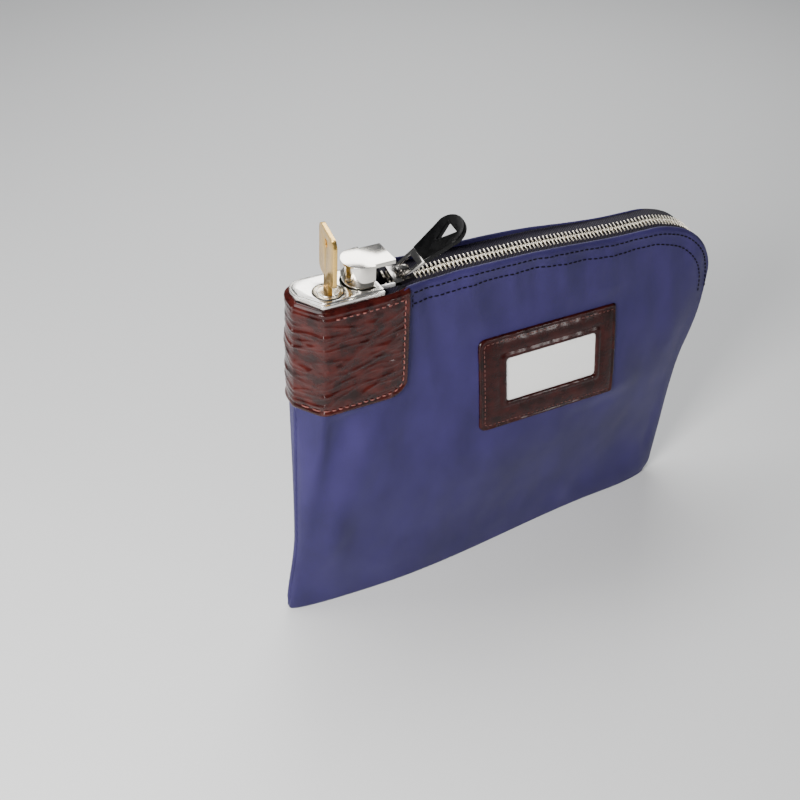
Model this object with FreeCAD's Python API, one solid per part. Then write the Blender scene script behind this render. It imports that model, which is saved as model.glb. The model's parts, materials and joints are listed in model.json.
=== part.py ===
import FreeCAD, Part
import math
import os

# Cash deposit bag with a pop-up seven-pin lock, a metal zipper and a name tag holder.
# Frame: origin under the middle of the bag, X along the bag (lock at -X), front face to -Y, Z up.

V = FreeCAD.Vector

# Driving dimensions of the bag, mm
BAG_LEFT = -137.5
BAG_RIGHT = 135.0
BASE_RIGHT = 120.0
LOCK_TOP = 214.2
BASE_HALF = 7.0
LOCK_HALF = 14.0
MOUTH_HALF = 9.3
BELLY = 3.6
CLOTH = 1.2
SEAM_GAP = 0.3
SLANT_LONG = 9.5
CORNER_X = 80.0
CORNER_Z = 150.0
CORNER_A = 55.0
CORNER_B = 60.0

# Zipper, mm and degrees
CHAIN_START = -77.0
CHAIN_Z = 213.4
CHAIN_Y = -0.5
CHAIN_SLOPE = 1.25
CHAIN_ROLL = 16.0
CHAIN_END = 72.0
CORNER_START = -4.0
CORNER_STOP = 76.0
TOOTH_PITCH = 2.54
TOOTH_THICK = 1.15
TOOTH_REACH = 0.9
TOOTH_ROOT = 3.1
TOOTH_HALF_HIGH = 1.3
TAPE_EDGE = 8.6
TAPE_THICK = 0.6
SLIDER_LONG = 12.0
SLIDER_MOUTH = 6.3
SLIDER_TAIL = 4.7
LUG_Z = 5.0
PULL_RAISE = 37.0
PULL_TILT = 10.0
BAR_R = 0.85

# Lock, mm and degrees
PLATE_LEFT = -136.5
PLATE_RIGHT = -93.0
PLATE_HALF = 14.5
END_R = 9.0
END_CUT = 8.7
END_TIGHT = 3.5
PLATE_BOTTOM = 214.5
PLATE_TOP = 217.5
HOUSING_LEFT = -135.0
HOUSING_RIGHT = -94.5
HOUSING_HALF = 13.0
HOUSING_BOTTOM = 176.0
PLUG_X = -120.0
PLUG_Y = -3.5
PLUG_R = 6.5
PLUG_HEAD_R = 7.6
PLUG_BOTTOM = 187.6
RUNNING = 0.06
KEY_TURN = -10.0
PIN_COUNT = 7
PIN_PITCH = 3.4
PIN_TOP = 210.8
PIN_R = 1.2
HEAD_TRAVEL = 8.6
HEAD_TOP = 230.5
HEAD_PLATE = 2.4
HEAD_BLOCK = 6.6
HEAD_NECK = 8.6
HEAD_ARCH_X = -100.0
HEAD_ARCH_R = 10.5
HEAD_NOSE = -84.5
NOSE_HALF = 9.0
SHANK_LEFT = -104.0
SHANK_RIGHT = -97.5
SHANK_HALF = 7.0
SHANK_BOTTOM = 189.9
RIB_LEFT = -108.0
RIB_LOW_Y = 0.6
CAM_BOTTOM = 184.5
CAM_TOP = 187.4
CAM_REACH = 15.5
CAM_ANGLE = 10.8
DRIVER_LONG = 3.6
SPRING_X = -101.2
SPRING_BORE = 2.15
SPRING_TOP = 211.0
CROSS_X = -97.6
CROSS_Z = 200.0
CROSS_R = 0.9
COVER_SCREWS = [(-129.5, 4.0), (-113.5, 8.5), (-113.5, -10.0)]
DOCK_RIGHT = -84.5
DOCK_HALF = 9.6
DOCK_FLOOR = 203.2

# Key, mm
BLADE_WIDE = 8.7
BLADE_THICK = 2.2
BLADE_BOTTOM = 188.8
BOW_WIDE = 25.0
BOW_BOTTOM = 225.5
BOW_TOP = 252.5
KEY_HOLE_R = 2.25
CUTS = [1.0, 2.2, 1.5, 0.6, 1.9, 1.2, 0.8]

# Name tag holder, mm
TAG_LEFT = -32.0
TAG_RIGHT = 61.0
TAG_LOW = 106.0
TAG_HIGH = 166.0
WINDOW_LEFT = -14.0
WINDOW_RIGHT = 47.0
WINDOW_LOW = 122.5
WINDOW_HIGH = 150.5

# Leather patch round the lock end, mm
PATCH_RIGHT = -78.0
PATCH_LOW = 148.0
PATCH_THICK = 1.3
PATCH_GAP = 0.65

# Sewing thread, mm
STITCH_R = 0.25
STITCH_LONG = 2.4
STITCH_STEP = 3.8

# Shares along and up a panel where its surface is pinned down
ALONG = [0.0, 0.001, 0.004, 0.011, 0.018, 0.024, 0.028, 0.031, 0.035, 0.042, 0.052, 0.065, 0.09, 0.115, 0.14, 0.165, 0.19]
ALONG += [0.215, 0.24, 0.28, 0.34, 0.42, 0.5, 0.58, 0.65, 0.7, 0.74, 0.78, 0.82, 0.86]
ALONG += [0.9, 0.93, 0.96, 0.98, 1.0]
UPWARD = [0.0, 0.06, 0.15, 0.28, 0.42, 0.56, 0.7, 0.82, 0.92, 1.0]


def smooth(a, b, x):
    t = min(max((x - a) / (b - a), 0.0), 1.0)
    return t * t * (3.0 - 2.0 * t)


def mix(a, b, t):
    return a + (b - a) * t


def save(name, shapes):
    """Write one node; a list becomes a group of separate solids."""
    if isinstance(shapes, list):
        shape = shapes[0] if len(shapes) == 1 else Part.makeCompound(shapes)
    else:
        shape = shapes
    shape.exportStep("parts/" + name + ".step")
    print(name, len(shape.Solids), round(shape.Volume, 1), shape.isValid())


def box(x0, x1, y0, y1, z0, z1):
    return Part.makeBox(x1 - x0, y1 - y0, z1 - z0, V(x0, y0, z0))


def rod(x, y, z0, z1, r):
    return Part.makeCylinder(r, z1 - z0, V(x, y, z0), V(0, 0, 1))


def rod_y(x, z, y0, y1, r):
    return Part.makeCylinder(r, y1 - y0, V(x, y0, z), V(0, 1, 0))


def end_plate(left, right, half, r, z0, z1):
    """Plate with a round back corner and a cut-away front corner at its left end."""
    ends = [V(right, -half, z0), V(right, half, z0)]
    bends = [V(left, half, z0), V(left, 0.0, z0), V(left + END_CUT, -half, z0)]
    plan = ends + bends + ends[:1]
    plate = Part.Face(Part.makePolygon(plan)).extrude(V(0, 0, z1 - z0))
    for bend, radius in zip(bends, (r, r, END_TIGHT)):
        upright = bend + V(0, 0, (z1 - z0) / 2)
        edge = min(plate.Edges, key=lambda e: e.CenterOfMass.distanceToPoint(upright))
        plate = plate.makeFillet(radius, [edge])
    return plate


def coil(x, y, z0, z1, r, wire, turns):
    """Round-wire compression spring standing along Z."""
    helix = Part.makeHelix((z1 - z0 - 2.0 * wire) / turns, z1 - z0 - 2.0 * wire, r)
    ring = Part.Wire(Part.makeCircle(wire, V(r, 0, 0), V(0, 1, 0)))
    solid = Part.Wire(helix.Edges).makePipeShell([ring], True, True)
    solid.translate(V(x, y, z0 + wire))
    return solid


def slab(near, far):
    """Closed solid between two matching grids of points."""
    surfaces = []
    for grid in (near, far):
        surface = Part.BSplineSurface()
        surface.interpolate([[V(*p) for p in row] for row in grid])
        surfaces.append(surface)
    faces = [s.toShape() for s in surfaces]
    for pick in ("u0", "u1", "v0", "v1"):
        edges = []
        for s in surfaces:
            u0, u1, v0, v1 = s.bounds()
            curve = {
                "u0": lambda: s.uIso(u0),
                "u1": lambda: s.uIso(u1),
                "v0": lambda: s.vIso(v0),
                "v1": lambda: s.vIso(v1),
            }[pick]()
            edges.append(curve.toShape())
        faces.append(Part.makeRuledSurface(edges[0], edges[1]))
    shell = Part.makeShell(faces)
    shell.sewShape()
    solid = Part.makeSolid(shell)
    if solid.Volume < 0:
        solid.reverse()
    return solid


# ---- shape of the bag ----

def chain_z(x):
    """Height of the zipper's middle line: a nearly level run, then a round corner."""
    if x <= CORNER_X:
        return CHAIN_Z - math.tan(math.radians(CHAIN_SLOPE)) * (x - CHAIN_START)
    across = min((x - CORNER_X) / CORNER_A, 1.0)
    return CORNER_Z + CORNER_B * math.sqrt(1.0 - across * across)


def top_edge(u, side):
    """Hem of one panel, from the lock end (u=0) to where the zipper ends (u=1)."""
    straight = 0.72
    if u <= straight:
        x = mix(BAG_LEFT, CORNER_X, u / straight)
        at_mouth = smooth(PLATE_RIGHT, CHAIN_START + 12.0, x)
        lift = -1.5 if side < 0 else 3.2
        return x, mix(LOCK_TOP, chain_z(x) + lift, at_mouth)
    angle = math.radians(90.0 * (u - straight) / (1.0 - straight))
    lift = mix(-1.5 if side < 0 else 3.2, 0.0, math.sin(angle))
    x = CORNER_X + (BAG_RIGHT - CORNER_X) * math.sin(angle)
    return x, CORNER_Z + (CORNER_B + lift) * math.cos(angle)


def right_edge(v):
    """Right side, narrowing below the zipper's end."""
    x = mix(BASE_RIGHT, BAG_RIGHT, smooth(0.25, 1.0, v))
    return x, CORNER_Z * v


def outline(u, v, side):
    """Point of the panel's outline plane for shares u along and v up."""
    top_x, top_z = top_edge(u, side)
    right_x, right_z = right_edge(v)
    left_z = LOCK_TOP * v
    base_x = mix(BAG_LEFT, BASE_RIGHT, u)
    x = mix(base_x, top_x, v) + u * (right_x - mix(BASE_RIGHT, BAG_RIGHT, v))
    z = top_z * v + u * (right_z - CORNER_Z * v) + (1.0 - u) * (left_z - LOCK_TOP * v)
    return x, z


def half_thick(x, z, side):
    """Half of the hollow's thickness at a place on the bag; the front is cut away at the lock end."""
    up = min(max(z / LOCK_TOP, 0.0), 1.0)
    top = mix(LOCK_HALF, MOUTH_HALF, smooth(PLATE_RIGHT, CHAIN_START + 12.0, x))
    full = mix(BASE_HALF, top, up) + 4.0 * BELLY * up * (1.0 - up)
    at_lock = smooth(0.3, 0.75, up)
    left_r = mix(22.0, 11.0, at_lock)
    power = mix(2.0, 2.5, at_lock)
    left_in = min((x - BAG_LEFT) / left_r, 1.0)
    right_at = mix(BASE_RIGHT, BAG_RIGHT, smooth(0.25, 1.0, min(z / CORNER_Z, 1.0)))
    right_r = mix(40.0, 9.0, smooth(60.0, CORNER_Z, z))
    right_in = min(max((right_at - x) / right_r, 0.0), 1.0)
    left_in = max(left_in, 0.0)
    left = (1.0 - (1.0 - left_in) ** power) ** (1.0 / power)
    if side < 0:
        slant = max(x - BAG_LEFT, 0.0) / SLANT_LONG
        left = mix(left, slant / (1.0 + slant**8) ** 0.125, smooth(0.45, 0.7, up))
    return full * left * math.sqrt(1.0 - (1.0 - right_in) ** 2)


def panel_y(x, z, side, out):
    """Y of a panel at a place; out is measured from the panel's inner face."""
    return side * (SEAM_GAP + half_thick(x, z, side) + out)


def panel_grid(side, out):
    grid = []
    for u in ALONG:
        row = []
        for v in UPWARD:
            x, z = outline(u, v, side)
            row.append((x, panel_y(x, z, side, out), z))
        grid.append(row)
    return grid


def make_panel(side):
    return slab(panel_grid(side, 0.0), panel_grid(side, CLOTH))


def surface_patch(xs, zs, side, near, far):
    """Solid that follows a panel over a block of x and z, between two heights above it."""
    grids = []
    for out in (near, far):
        grids.append([[(x, panel_y(x, z, side, CLOTH + out), z) for z in zs] for x in xs])
    return slab(grids[0], grids[1])


def spread(a, b, count):
    return [mix(a, b, i / (count - 1.0)) for i in range(count)]


def make_bottom():
    """Flat strip that closes the bag underneath, the face that it stands on."""
    xs = [BAG_LEFT + 3.0, -134.0, -128.0, -118.0, -100.0, -60.0, 0.0, 60.0, 85.0, 100.0, 110.0, 117.0]
    points = []
    for side in (-1, 1):
        line = [V(x, side * (half_thick(x, 0.0, side) + SEAM_GAP - 0.15), 0.0) for x in xs]
        points.append(line if side < 0 else line[::-1])
    front = Part.BSplineCurve()
    front.interpolate(points[0])
    back = Part.BSplineCurve()
    back.interpolate(points[1])
    ends = [Part.makeLine(points[0][-1], points[1][0]), Part.makeLine(points[1][-1], points[0][0])]
    wire = Part.Wire([front.toShape(), ends[0], back.toShape(), ends[1]])
    return Part.Face(wire).extrude(V(0, 0, CLOTH))


def side_binding(x_at, z0, z1, half, wide):
    """Folded tape that binds the two panels at a side seam, on its outside."""
    pieces = []
    for z_low, z_high in zip(spread(z0, z1, 7)[:-1], spread(z0, z1, 7)[1:]):
        rings = []
        for z in (z_low, z_high):
            x = x_at(z)
            corners = [V(x, -half, z), V(x + wide, -half, z), V(x + wide, half, z), V(x, half, z)]
            rings.append(Part.makePolygon(corners + corners[:1]))
        pieces.append(Part.makeLoft(rings, True, True))
    solid = pieces[0]
    for piece in pieces[1:]:
        solid = solid.fuse(piece)
    return solid.removeSplitter()


def right_seam_x(z):
    return mix(BASE_RIGHT, BAG_RIGHT, smooth(0.25, 1.0, z / CORNER_Z)) + 0.6


def left_seam_x(z):
    return BAG_LEFT - 1.45


# ---- leather patch ----

def wrap_line(z, out):
    """Line round the lock end at one height, a set distance outside the panels."""
    flat = [PATCH_RIGHT, -82.0, -86.0, -90.0, -95.0, -102.0, -110.0, -117.0, -123.0, -128.0]
    flat += [-131.5, -134.0, -136.0, -137.0]
    corner = [-125.0, -126.2, -127.2, -128.0, -128.9, -130.0]
    cut_away = sorted(set(flat + corner), reverse=True)
    front = [(x, panel_y(x, z, -1, CLOTH)) for x in cut_away]
    back = [(x, panel_y(x, z, 1, CLOTH)) for x in flat]
    points = front + [(BAG_LEFT - 0.25, 0.0)] + back[::-1]
    moved = []
    for i, (x, y) in enumerate(points):
        before = points[max(i - 1, 0)]
        after = points[min(i + 1, len(points) - 1)]
        dx = after[0] - before[0]
        dy = after[1] - before[1]
        size = math.hypot(dx, dy)
        moved.append((x - dy / size * out, y + dx / size * out, z))
    return moved


def make_patch():
    heights = spread(PATCH_LOW, LOCK_TOP, 6)
    near = [wrap_line(z, PATCH_GAP) for z in heights]
    far = [wrap_line(z, PATCH_GAP + PATCH_THICK) for z in heights]
    return slab(near, far)


# ---- zipper ----

def on_chain(shape, x):
    """Put a shape built about the chain's middle at its place along the straight run."""
    placed = shape.copy()
    placed.rotate(V(0, 0, 0), V(1, 0, 0), CHAIN_ROLL)
    placed.rotate(V(0, 0, 0), V(0, 1, 0), CHAIN_SLOPE)
    placed.translate(V(x, CHAIN_Y, chain_z(x)))
    return placed


def tooth(side):
    """One tooth of a row: a narrow block with a thinner head that meets the other row."""
    root = box(-TOOTH_THICK / 2, TOOTH_THICK / 2, 0.6, TOOTH_ROOT, -TOOTH_HALF_HIGH, TOOTH_HALF_HIGH)
    head = box(-TOOTH_THICK / 2, TOOTH_THICK / 2, -TOOTH_REACH, 0.6, -0.95, 0.95)
    whole = root.fuse(head)
    if side < 0:
        whole = whole.mirror(V(0, 0, 0), V(0, 1, 0))
    return whole


def row_teeth(side):
    """The row that parts: a short open run at the lock, then the meshed straight run."""
    teeth = []
    block = tooth(side)
    shift = 0.0 if side < 0 else TOOTH_PITCH / 2
    count = int((CHAIN_END - CHAIN_START) / TOOTH_PITCH) - 1
    for i in range(count):
        teeth.append(on_chain(block, CHAIN_START + 0.8 + shift + i * TOOTH_PITCH))
    for i in range(1, 5):
        x = CHAIN_START + 0.8 + shift - i * TOOTH_PITCH
        opened = block.copy()
        opened.translate(V(0, side * max(CHAIN_START - 0.2 - x, 0.0) * 0.31, 0))
        teeth.append(on_chain(opened, x))
    return teeth


def row_tape(side):
    """Woven tape of one row, from the tooth roots out to the hem."""
    near = TOOTH_ROOT + 0.05
    long = CHAIN_END - CHAIN_START - 4.0
    low, high = (near, TAPE_EDGE) if side > 0 else (-TAPE_EDGE, -near)
    band = box(3.0, 3.0 + long, low, high, -TAPE_THICK / 2, TAPE_THICK / 2)
    return on_chain(band, CHAIN_START)


def corner_place(angle, out):
    """Point on the round corner, out away from the middle line."""
    a = math.radians(angle)
    return V(
        CORNER_X + (CORNER_A + out) * math.sin(a),
        0.0,
        CORNER_Z + (CORNER_B + out) * math.cos(a),
    )


def corner_row(side):
    """Teeth round the corner and a little way down the right side."""
    teeth = []
    block = tooth(side)
    start = CORNER_START
    steps = int(math.radians(CORNER_STOP - start) * (CORNER_A + CORNER_B) / 2.0 / TOOTH_PITCH)
    for i in range(steps):
        angle = start + (CORNER_STOP - start) * (i + (0.0 if side < 0 else 0.5)) / steps
        piece = block.copy()
        roll = CHAIN_ROLL * (1.0 - smooth(0.0, 90.0, angle))
        piece.rotate(V(0, 0, 0), V(1, 0, 0), roll)
        piece.rotate(V(0, 0, 0), V(0, 1, 0), angle)
        at = corner_place(angle, 0.0)
        piece.translate(V(at.x, CHAIN_Y * (1.0 - smooth(0.0, 60.0, angle)), at.z))
        teeth.append(piece)
    return teeth


def corner_tape(side):
    """Tape of one row round the corner, narrowing into the side seam."""
    grids = []
    for height in (-TAPE_THICK / 2, TAPE_THICK / 2):
        grid = []
        for angle in spread(CORNER_START + 1.0, CORNER_STOP - 1.0, 9):
            a = math.radians(angle)
            roll = math.radians(CHAIN_ROLL * (1.0 - smooth(0.0, 90.0, angle)))
            edge = mix(TAPE_EDGE - 1.3, TOOTH_ROOT + 0.7, smooth(0.0, 70.0, angle))
            y0 = CHAIN_Y * (1.0 - smooth(0.0, 60.0, angle))
            row = []
            for across in (TOOTH_ROOT + 0.1, (TOOTH_ROOT + edge) / 2.0, edge):
                y = side * across * math.cos(roll) - height * math.sin(roll)
                out = side * across * math.sin(roll) + height * math.cos(roll)
                at = corner_place(angle, 0.0)
                row.append((at.x + out * math.sin(a), y0 + y, at.z + out * math.cos(a)))
            grid.append(row)
        grids.append(grid)
    return slab(grids[0], grids[1])


def taper_plan(left, right, near, far, z0, z1):
    """Plate that is wider at its left end than at its right."""
    corners = [V(left, -near, z0), V(right, -far, z0), V(right, far, z0), V(left, near, z0)]
    return Part.Face(Part.makePolygon(corners + corners[:1])).extrude(V(0, 0, z1 - z0))


def make_slider():
    """Slider body: two plates joined by a wedge, with side lips and a lug for the pull."""
    half = SLIDER_LONG / 2
    plates = [taper_plan(-half, half, SLIDER_MOUTH, SLIDER_TAIL, z, z + 1.4) for z in (1.9, -3.3)]
    rim = taper_plan(-half, half, SLIDER_MOUTH, SLIDER_TAIL, -2.3, 2.3)
    wall = 0.95
    inside = taper_plan(-half - 0.01, half + 0.01, SLIDER_MOUTH - wall, SLIDER_TAIL - wall, -2.4, 2.4)
    gap = box(-half - 1, half + 1, -9.0, 9.0, -0.9, 0.9)
    lips = rim.cut(inside).cut(gap)
    wedge = box(-half + 0.05, -half + 1.0, -0.4, 0.4, -2.0, 2.0)
    lug = box(-3.4, 3.4, -1.5, 1.5, 3.2, LUG_Z + 2.4)
    lug = lug.cut(box(-2.1, 2.1, -2.0, 2.0, LUG_Z - 1.1, LUG_Z + 1.1))
    body = plates[0].fuse([plates[1], lips, wedge, lug])
    return on_chain(body.removeSplitter(), CHAIN_START)


def pull_place(shape):
    """Put a flat pull piece, built along +X from its pivot, at its raised rest angle."""
    placed = shape.copy()
    placed.rotate(V(0, 0, 0), V(0, 1, 0), -PULL_RAISE)
    placed.rotate(V(0, 0, 0), V(1, 0, 0), PULL_TILT)
    lug = on_chain(Part.Vertex(0, 0, LUG_Z), CHAIN_START).Point
    placed.translate(V(lug.x, lug.y, lug.z))
    return placed


def make_pull_link():
    """Metal link: a round bar through the lug, two side arms and a broad end plate."""
    plate = taper_plan(0.0, 12.0, 5.2, 6.0, -BAR_R, BAR_R)
    window = taper_plan(-1.0, 8.5, 3.3, 3.7, -2.0, 2.0)
    bar = Part.makeCylinder(BAR_R, 10.4, V(0, -5.2, 0), V(0, 1, 0))
    return pull_place(plate.cut(window).fuse(bar).removeSplitter())


def make_pull_grip():
    """Moulded grip, broad at its round outer end, with a three-cornered hole."""
    start = 12.05
    body = taper_plan(start, 31.0, 5.9, 8.8, -1.8, 1.8)
    end = Part.makeCylinder(9.0, 3.6, V(32.0, 0, -1.8), V(0, 0, 1))
    hole_points = [V(24.0, 0, -3), V(34.5, -4.6, -3), V(34.5, 4.6, -3)]
    hole = Part.Face(Part.makePolygon(hole_points + hole_points[:1])).extrude(V(0, 0, 6))
    return pull_place(body.fuse(end).removeSplitter().cut(hole))


# ---- lock ----

def plug_turned(shape):
    turned = shape.copy()
    turned.rotate(V(PLUG_X, PLUG_Y, 0), V(0, 0, 1), KEY_TURN)
    return turned


def pin_heights():
    return [PIN_TOP - PIN_PITCH * i for i in range(PIN_COUNT)]


def head_plan(grow, z0, z1):
    """D-shaped block of the pop-up head."""
    r = HEAD_ARCH_R + grow
    arch = rod(HEAD_ARCH_X, 0.0, z0, z1, r)
    right = HEAD_ARCH_X + 3.5 + grow
    keep = box(HEAD_ARCH_X - r - 1, right, -r - 1, r + 1, z0, z1)
    square = box(HEAD_ARCH_X, right, -r, r, z0, z1)
    return arch.common(keep).fuse(square).removeSplitter()


def make_head():
    """Pop-up head: D block, nose plate over the dock, and the shank that the cam catches."""
    low = HEAD_TOP - HEAD_PLATE
    block = head_plan(0.0, low - HEAD_BLOCK, HEAD_TOP)
    nose = box(HEAD_ARCH_X, HEAD_NOSE, -NOSE_HALF, NOSE_HALF, low, HEAD_TOP)
    neck = head_plan(-0.6, low - HEAD_BLOCK - HEAD_NECK, low - HEAD_BLOCK)
    shank_top = low - HEAD_BLOCK - HEAD_NECK
    shank = box(SHANK_LEFT, SHANK_RIGHT, -SHANK_HALF, SHANK_HALF, SHANK_BOTTOM, shank_top)
    rib = box(RIB_LEFT, SHANK_LEFT, RIB_LOW_Y, SHANK_HALF, SHANK_BOTTOM, shank_top)
    head = block.fuse([nose, neck, shank, rib]).removeSplitter()
    notch_low = CAM_BOTTOM + HEAD_TRAVEL - 0.4
    notch_high = CAM_TOP + HEAD_TRAVEL + 0.4
    head = head.cut(box(RIB_LEFT - 1, SHANK_LEFT - 0.1, -SHANK_HALF, SHANK_HALF + 1, notch_low, notch_high))
    head = head.cut(rod(SPRING_X, 0.0, SHANK_BOTTOM - 1, SPRING_TOP + 0.1, SPRING_BORE))
    groove_low = CROSS_Z - 1.0
    groove_high = CROSS_Z + HEAD_TRAVEL + 1.0
    return head.cut(box(CROSS_X - 1.0, SHANK_RIGHT + 1, -9.0, 9.0, groove_low, groove_high))


def make_housing():
    body = end_plate(HOUSING_LEFT, HOUSING_RIGHT, HOUSING_HALF, END_R - 1.5, HOUSING_BOTTOM, PLATE_BOTTOM - 0.05)
    bore = rod(PLUG_X, PLUG_Y, HOUSING_BOTTOM - 1, PLATE_BOTTOM + 1, PLUG_R + RUNNING)
    clear = 0.1
    channel = box(SHANK_LEFT - 0.3, SHANK_RIGHT + clear, -SHANK_HALF - clear, SHANK_HALF + clear, 170, 216)
    rib_way = box(RIB_LEFT - clear, SHANK_LEFT, RIB_LOW_Y - clear, SHANK_HALF + clear, 170, 216)
    pocket_floor = HEAD_TOP - HEAD_PLATE - HEAD_BLOCK - HEAD_NECK - HEAD_TRAVEL - 0.3
    pocket = head_plan(0.15, pocket_floor, 220)
    sweep = rod(PLUG_X, PLUG_Y, CAM_BOTTOM - 0.3, CAM_TOP + 0.2, CAM_REACH + 0.4)
    sweep = sweep.common(box(PLUG_X - 1, -103.7, -11.4, 5.0, 180, 190))
    cross = rod_y(CROSS_X, CROSS_Z, -20, 20, CROSS_R)
    body = body.cut([bore, channel, rib_way, pocket, sweep, cross])
    for z in pin_heights():
        body = body.cut(rod_y(PLUG_X, z, PLUG_Y, HOUSING_HALF + 1, PIN_R + 0.05))
    cover_seat = box(PLUG_X - 2.6, PLUG_X + 2.6, HOUSING_HALF - 1.2, HOUSING_HALF + 1, 186.5, 213.0)
    body = body.cut(cover_seat)
    for x, y in COVER_SCREWS:
        body = body.cut(rod(x, y, HOUSING_BOTTOM - 1, HOUSING_BOTTOM + 6.2, 1.0))
    return body


def make_face_plate():
    plate = end_plate(PLATE_LEFT, PLATE_RIGHT, PLATE_HALF, END_R, PLATE_BOTTOM, PLATE_TOP - 0.6)
    raised = end_plate(PLATE_LEFT + 1.5, PLATE_RIGHT, PLATE_HALF - 1.5, END_R - 1.5, PLATE_TOP - 0.7, PLATE_TOP)
    plate = plate.fuse(raised).removeSplitter()
    plate = plate.cut(rod(PLUG_X, PLUG_Y, PLATE_BOTTOM - 1, PLATE_TOP + 1, PLUG_HEAD_R + RUNNING))
    return plate.cut(head_plan(0.15, PLATE_BOTTOM - 1, PLATE_TOP + 1))


def make_plug():
    body = rod(PLUG_X, PLUG_Y, PLUG_BOTTOM, PLATE_BOTTOM, PLUG_R)
    flange = rod(PLUG_X, PLUG_Y, PLATE_BOTTOM, PLATE_TOP + 0.5, PLUG_HEAD_R)
    plug = body.fuse(flange).removeSplitter()
    slot_x = BLADE_THICK / 2 + 0.15
    slot_y = BLADE_WIDE / 2 + 0.2
    slot = box(PLUG_X - slot_x, PLUG_X + slot_x, PLUG_Y - slot_y, PLUG_Y + slot_y, BLADE_BOTTOM - 0.3, 220)
    plug = plug.cut(slot)
    for z in pin_heights():
        plug = plug.cut(rod_y(PLUG_X, z, PLUG_Y, PLUG_Y + 12, PIN_R + 0.05))
    return plug_turned(plug)


def make_key():
    """Flat key standing in the plug: cut blade, neck and a square bow with a ring hole."""
    t = BLADE_THICK / 2
    w = BLADE_WIDE / 2
    x, y = PLUG_X, PLUG_Y
    blade = box(x - t, x + t, y - w, y + w, BLADE_BOTTOM, BOW_BOTTOM + 0.5)
    bow = box(x - t, x + t, y - BOW_WIDE / 2, y + BOW_WIDE / 2, BOW_BOTTOM, BOW_TOP)
    corners = [e for e in bow.Edges if abs(e.tangentAt(e.FirstParameter).x) > 0.9]
    bow = bow.makeFillet(4.0, corners)
    key = blade.fuse(bow).removeSplitter()
    for z, cut in zip(pin_heights(), CUTS):
        points = [
            V(x - 2, y + w - cut, z - 0.7),
            V(x - 2, y + w - cut, z + 0.7),
            V(x - 2, y + w + 0.3, z + 1.0 + cut * 0.9),
            V(x - 2, y + w + 0.3, z - 1.0 - cut * 0.9),
        ]
        key = key.cut(Part.Face(Part.makePolygon(points + points[:1])).extrude(V(4, 0, 0)))
    key = key.cut(Part.makeCylinder(KEY_HOLE_R, 10, V(x - 5, y, BOW_TOP - 6.5), V(1, 0, 0)))
    groove = box(x + t - 0.5, x + t + 1, y - 2.0, y - 0.8, BLADE_BOTTOM - 1, 221.0)
    return plug_turned(key.cut(groove))


def key_pins():
    pins = []
    for z, cut in zip(pin_heights(), CUTS):
        foot = PLUG_Y + BLADE_WIDE / 2 - cut + 0.03
        pin = rod_y(PLUG_X, z, foot, PLUG_Y + PLUG_R - 0.14, PIN_R - 0.03)
        tip = Part.makeCone(0.5, PIN_R - 0.03, 0.8, V(PLUG_X, foot, z), V(0, 1, 0))
        pin = pin.cut(rod_y(PLUG_X, z, foot - 1, foot + 0.8, PIN_R + 1)).fuse(tip).removeSplitter()
        pins.append(plug_turned(pin))
    return pins


def driver_pins():
    start = PLUG_Y + PLUG_R + 0.08
    return [rod_y(PLUG_X, z, start, start + DRIVER_LONG, PIN_R - 0.03) for z in pin_heights()]


def pin_springs():
    springs = []
    start = PLUG_Y + PLUG_R + 0.08 + DRIVER_LONG + 0.02
    stop = HOUSING_HALF - 1.22
    for z in pin_heights():
        spring = coil(0.0, 0.0, 0.0, stop - start, 0.75, 0.17, 5)
        spring.rotate(V(0, 0, 0), V(1, 0, 0), -90.0)
        spring.translate(V(PLUG_X, start, z))
        springs.append(spring)
    return springs


def make_cam():
    hub = rod(PLUG_X, PLUG_Y, CAM_BOTTOM, CAM_TOP, 5.2)
    finger = box(PLUG_X, PLUG_X + CAM_REACH, PLUG_Y - 1.0, PLUG_Y + 1.0, CAM_BOTTOM, CAM_TOP)
    finger.rotate(V(PLUG_X, PLUG_Y, 0), V(0, 0, 1), CAM_ANGLE)
    cam = hub.fuse(finger).removeSplitter()
    return cam.cut(rod(PLUG_X, PLUG_Y, CAM_BOTTOM - 1, CAM_TOP + 1, 1.6))


def make_cam_screw():
    head = rod(PLUG_X, PLUG_Y, CAM_BOTTOM - 2.0, CAM_BOTTOM - 0.05, 3.2)
    shaft = rod(PLUG_X, PLUG_Y, CAM_BOTTOM - 0.1, CAM_TOP + 0.15, 1.5)
    drive = box(PLUG_X - 3.5, PLUG_X + 3.5, PLUG_Y - 0.4, PLUG_Y + 0.4, CAM_BOTTOM - 2.5, CAM_BOTTOM - 1.2)
    return head.fuse(shaft).removeSplitter().cut(drive)


def make_bottom_cover():
    top = HOUSING_BOTTOM - 0.02
    cover = end_plate(HOUSING_LEFT, HOUSING_RIGHT, HOUSING_HALF, END_R - 1.5, HOUSING_BOTTOM - 1.6, top)
    for x, y in COVER_SCREWS:
        cover = cover.cut(rod(x, y, HOUSING_BOTTOM - 3, HOUSING_BOTTOM + 1, 1.15))
    return cover


def cover_screws():
    screws = []
    low = HOUSING_BOTTOM - 1.6
    for x, y in COVER_SCREWS:
        head = rod(x, y, low - 1.3, low - 0.02, 2.0)
        shaft = rod(x, y, low - 0.1, HOUSING_BOTTOM + 6.0, 0.98)
        slot = box(x - 2.5, x + 2.5, y - 0.3, y + 0.3, low - 2.0, low - 0.7)
        screws.append(head.fuse(shaft).removeSplitter().cut(slot))
    return screws


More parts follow.
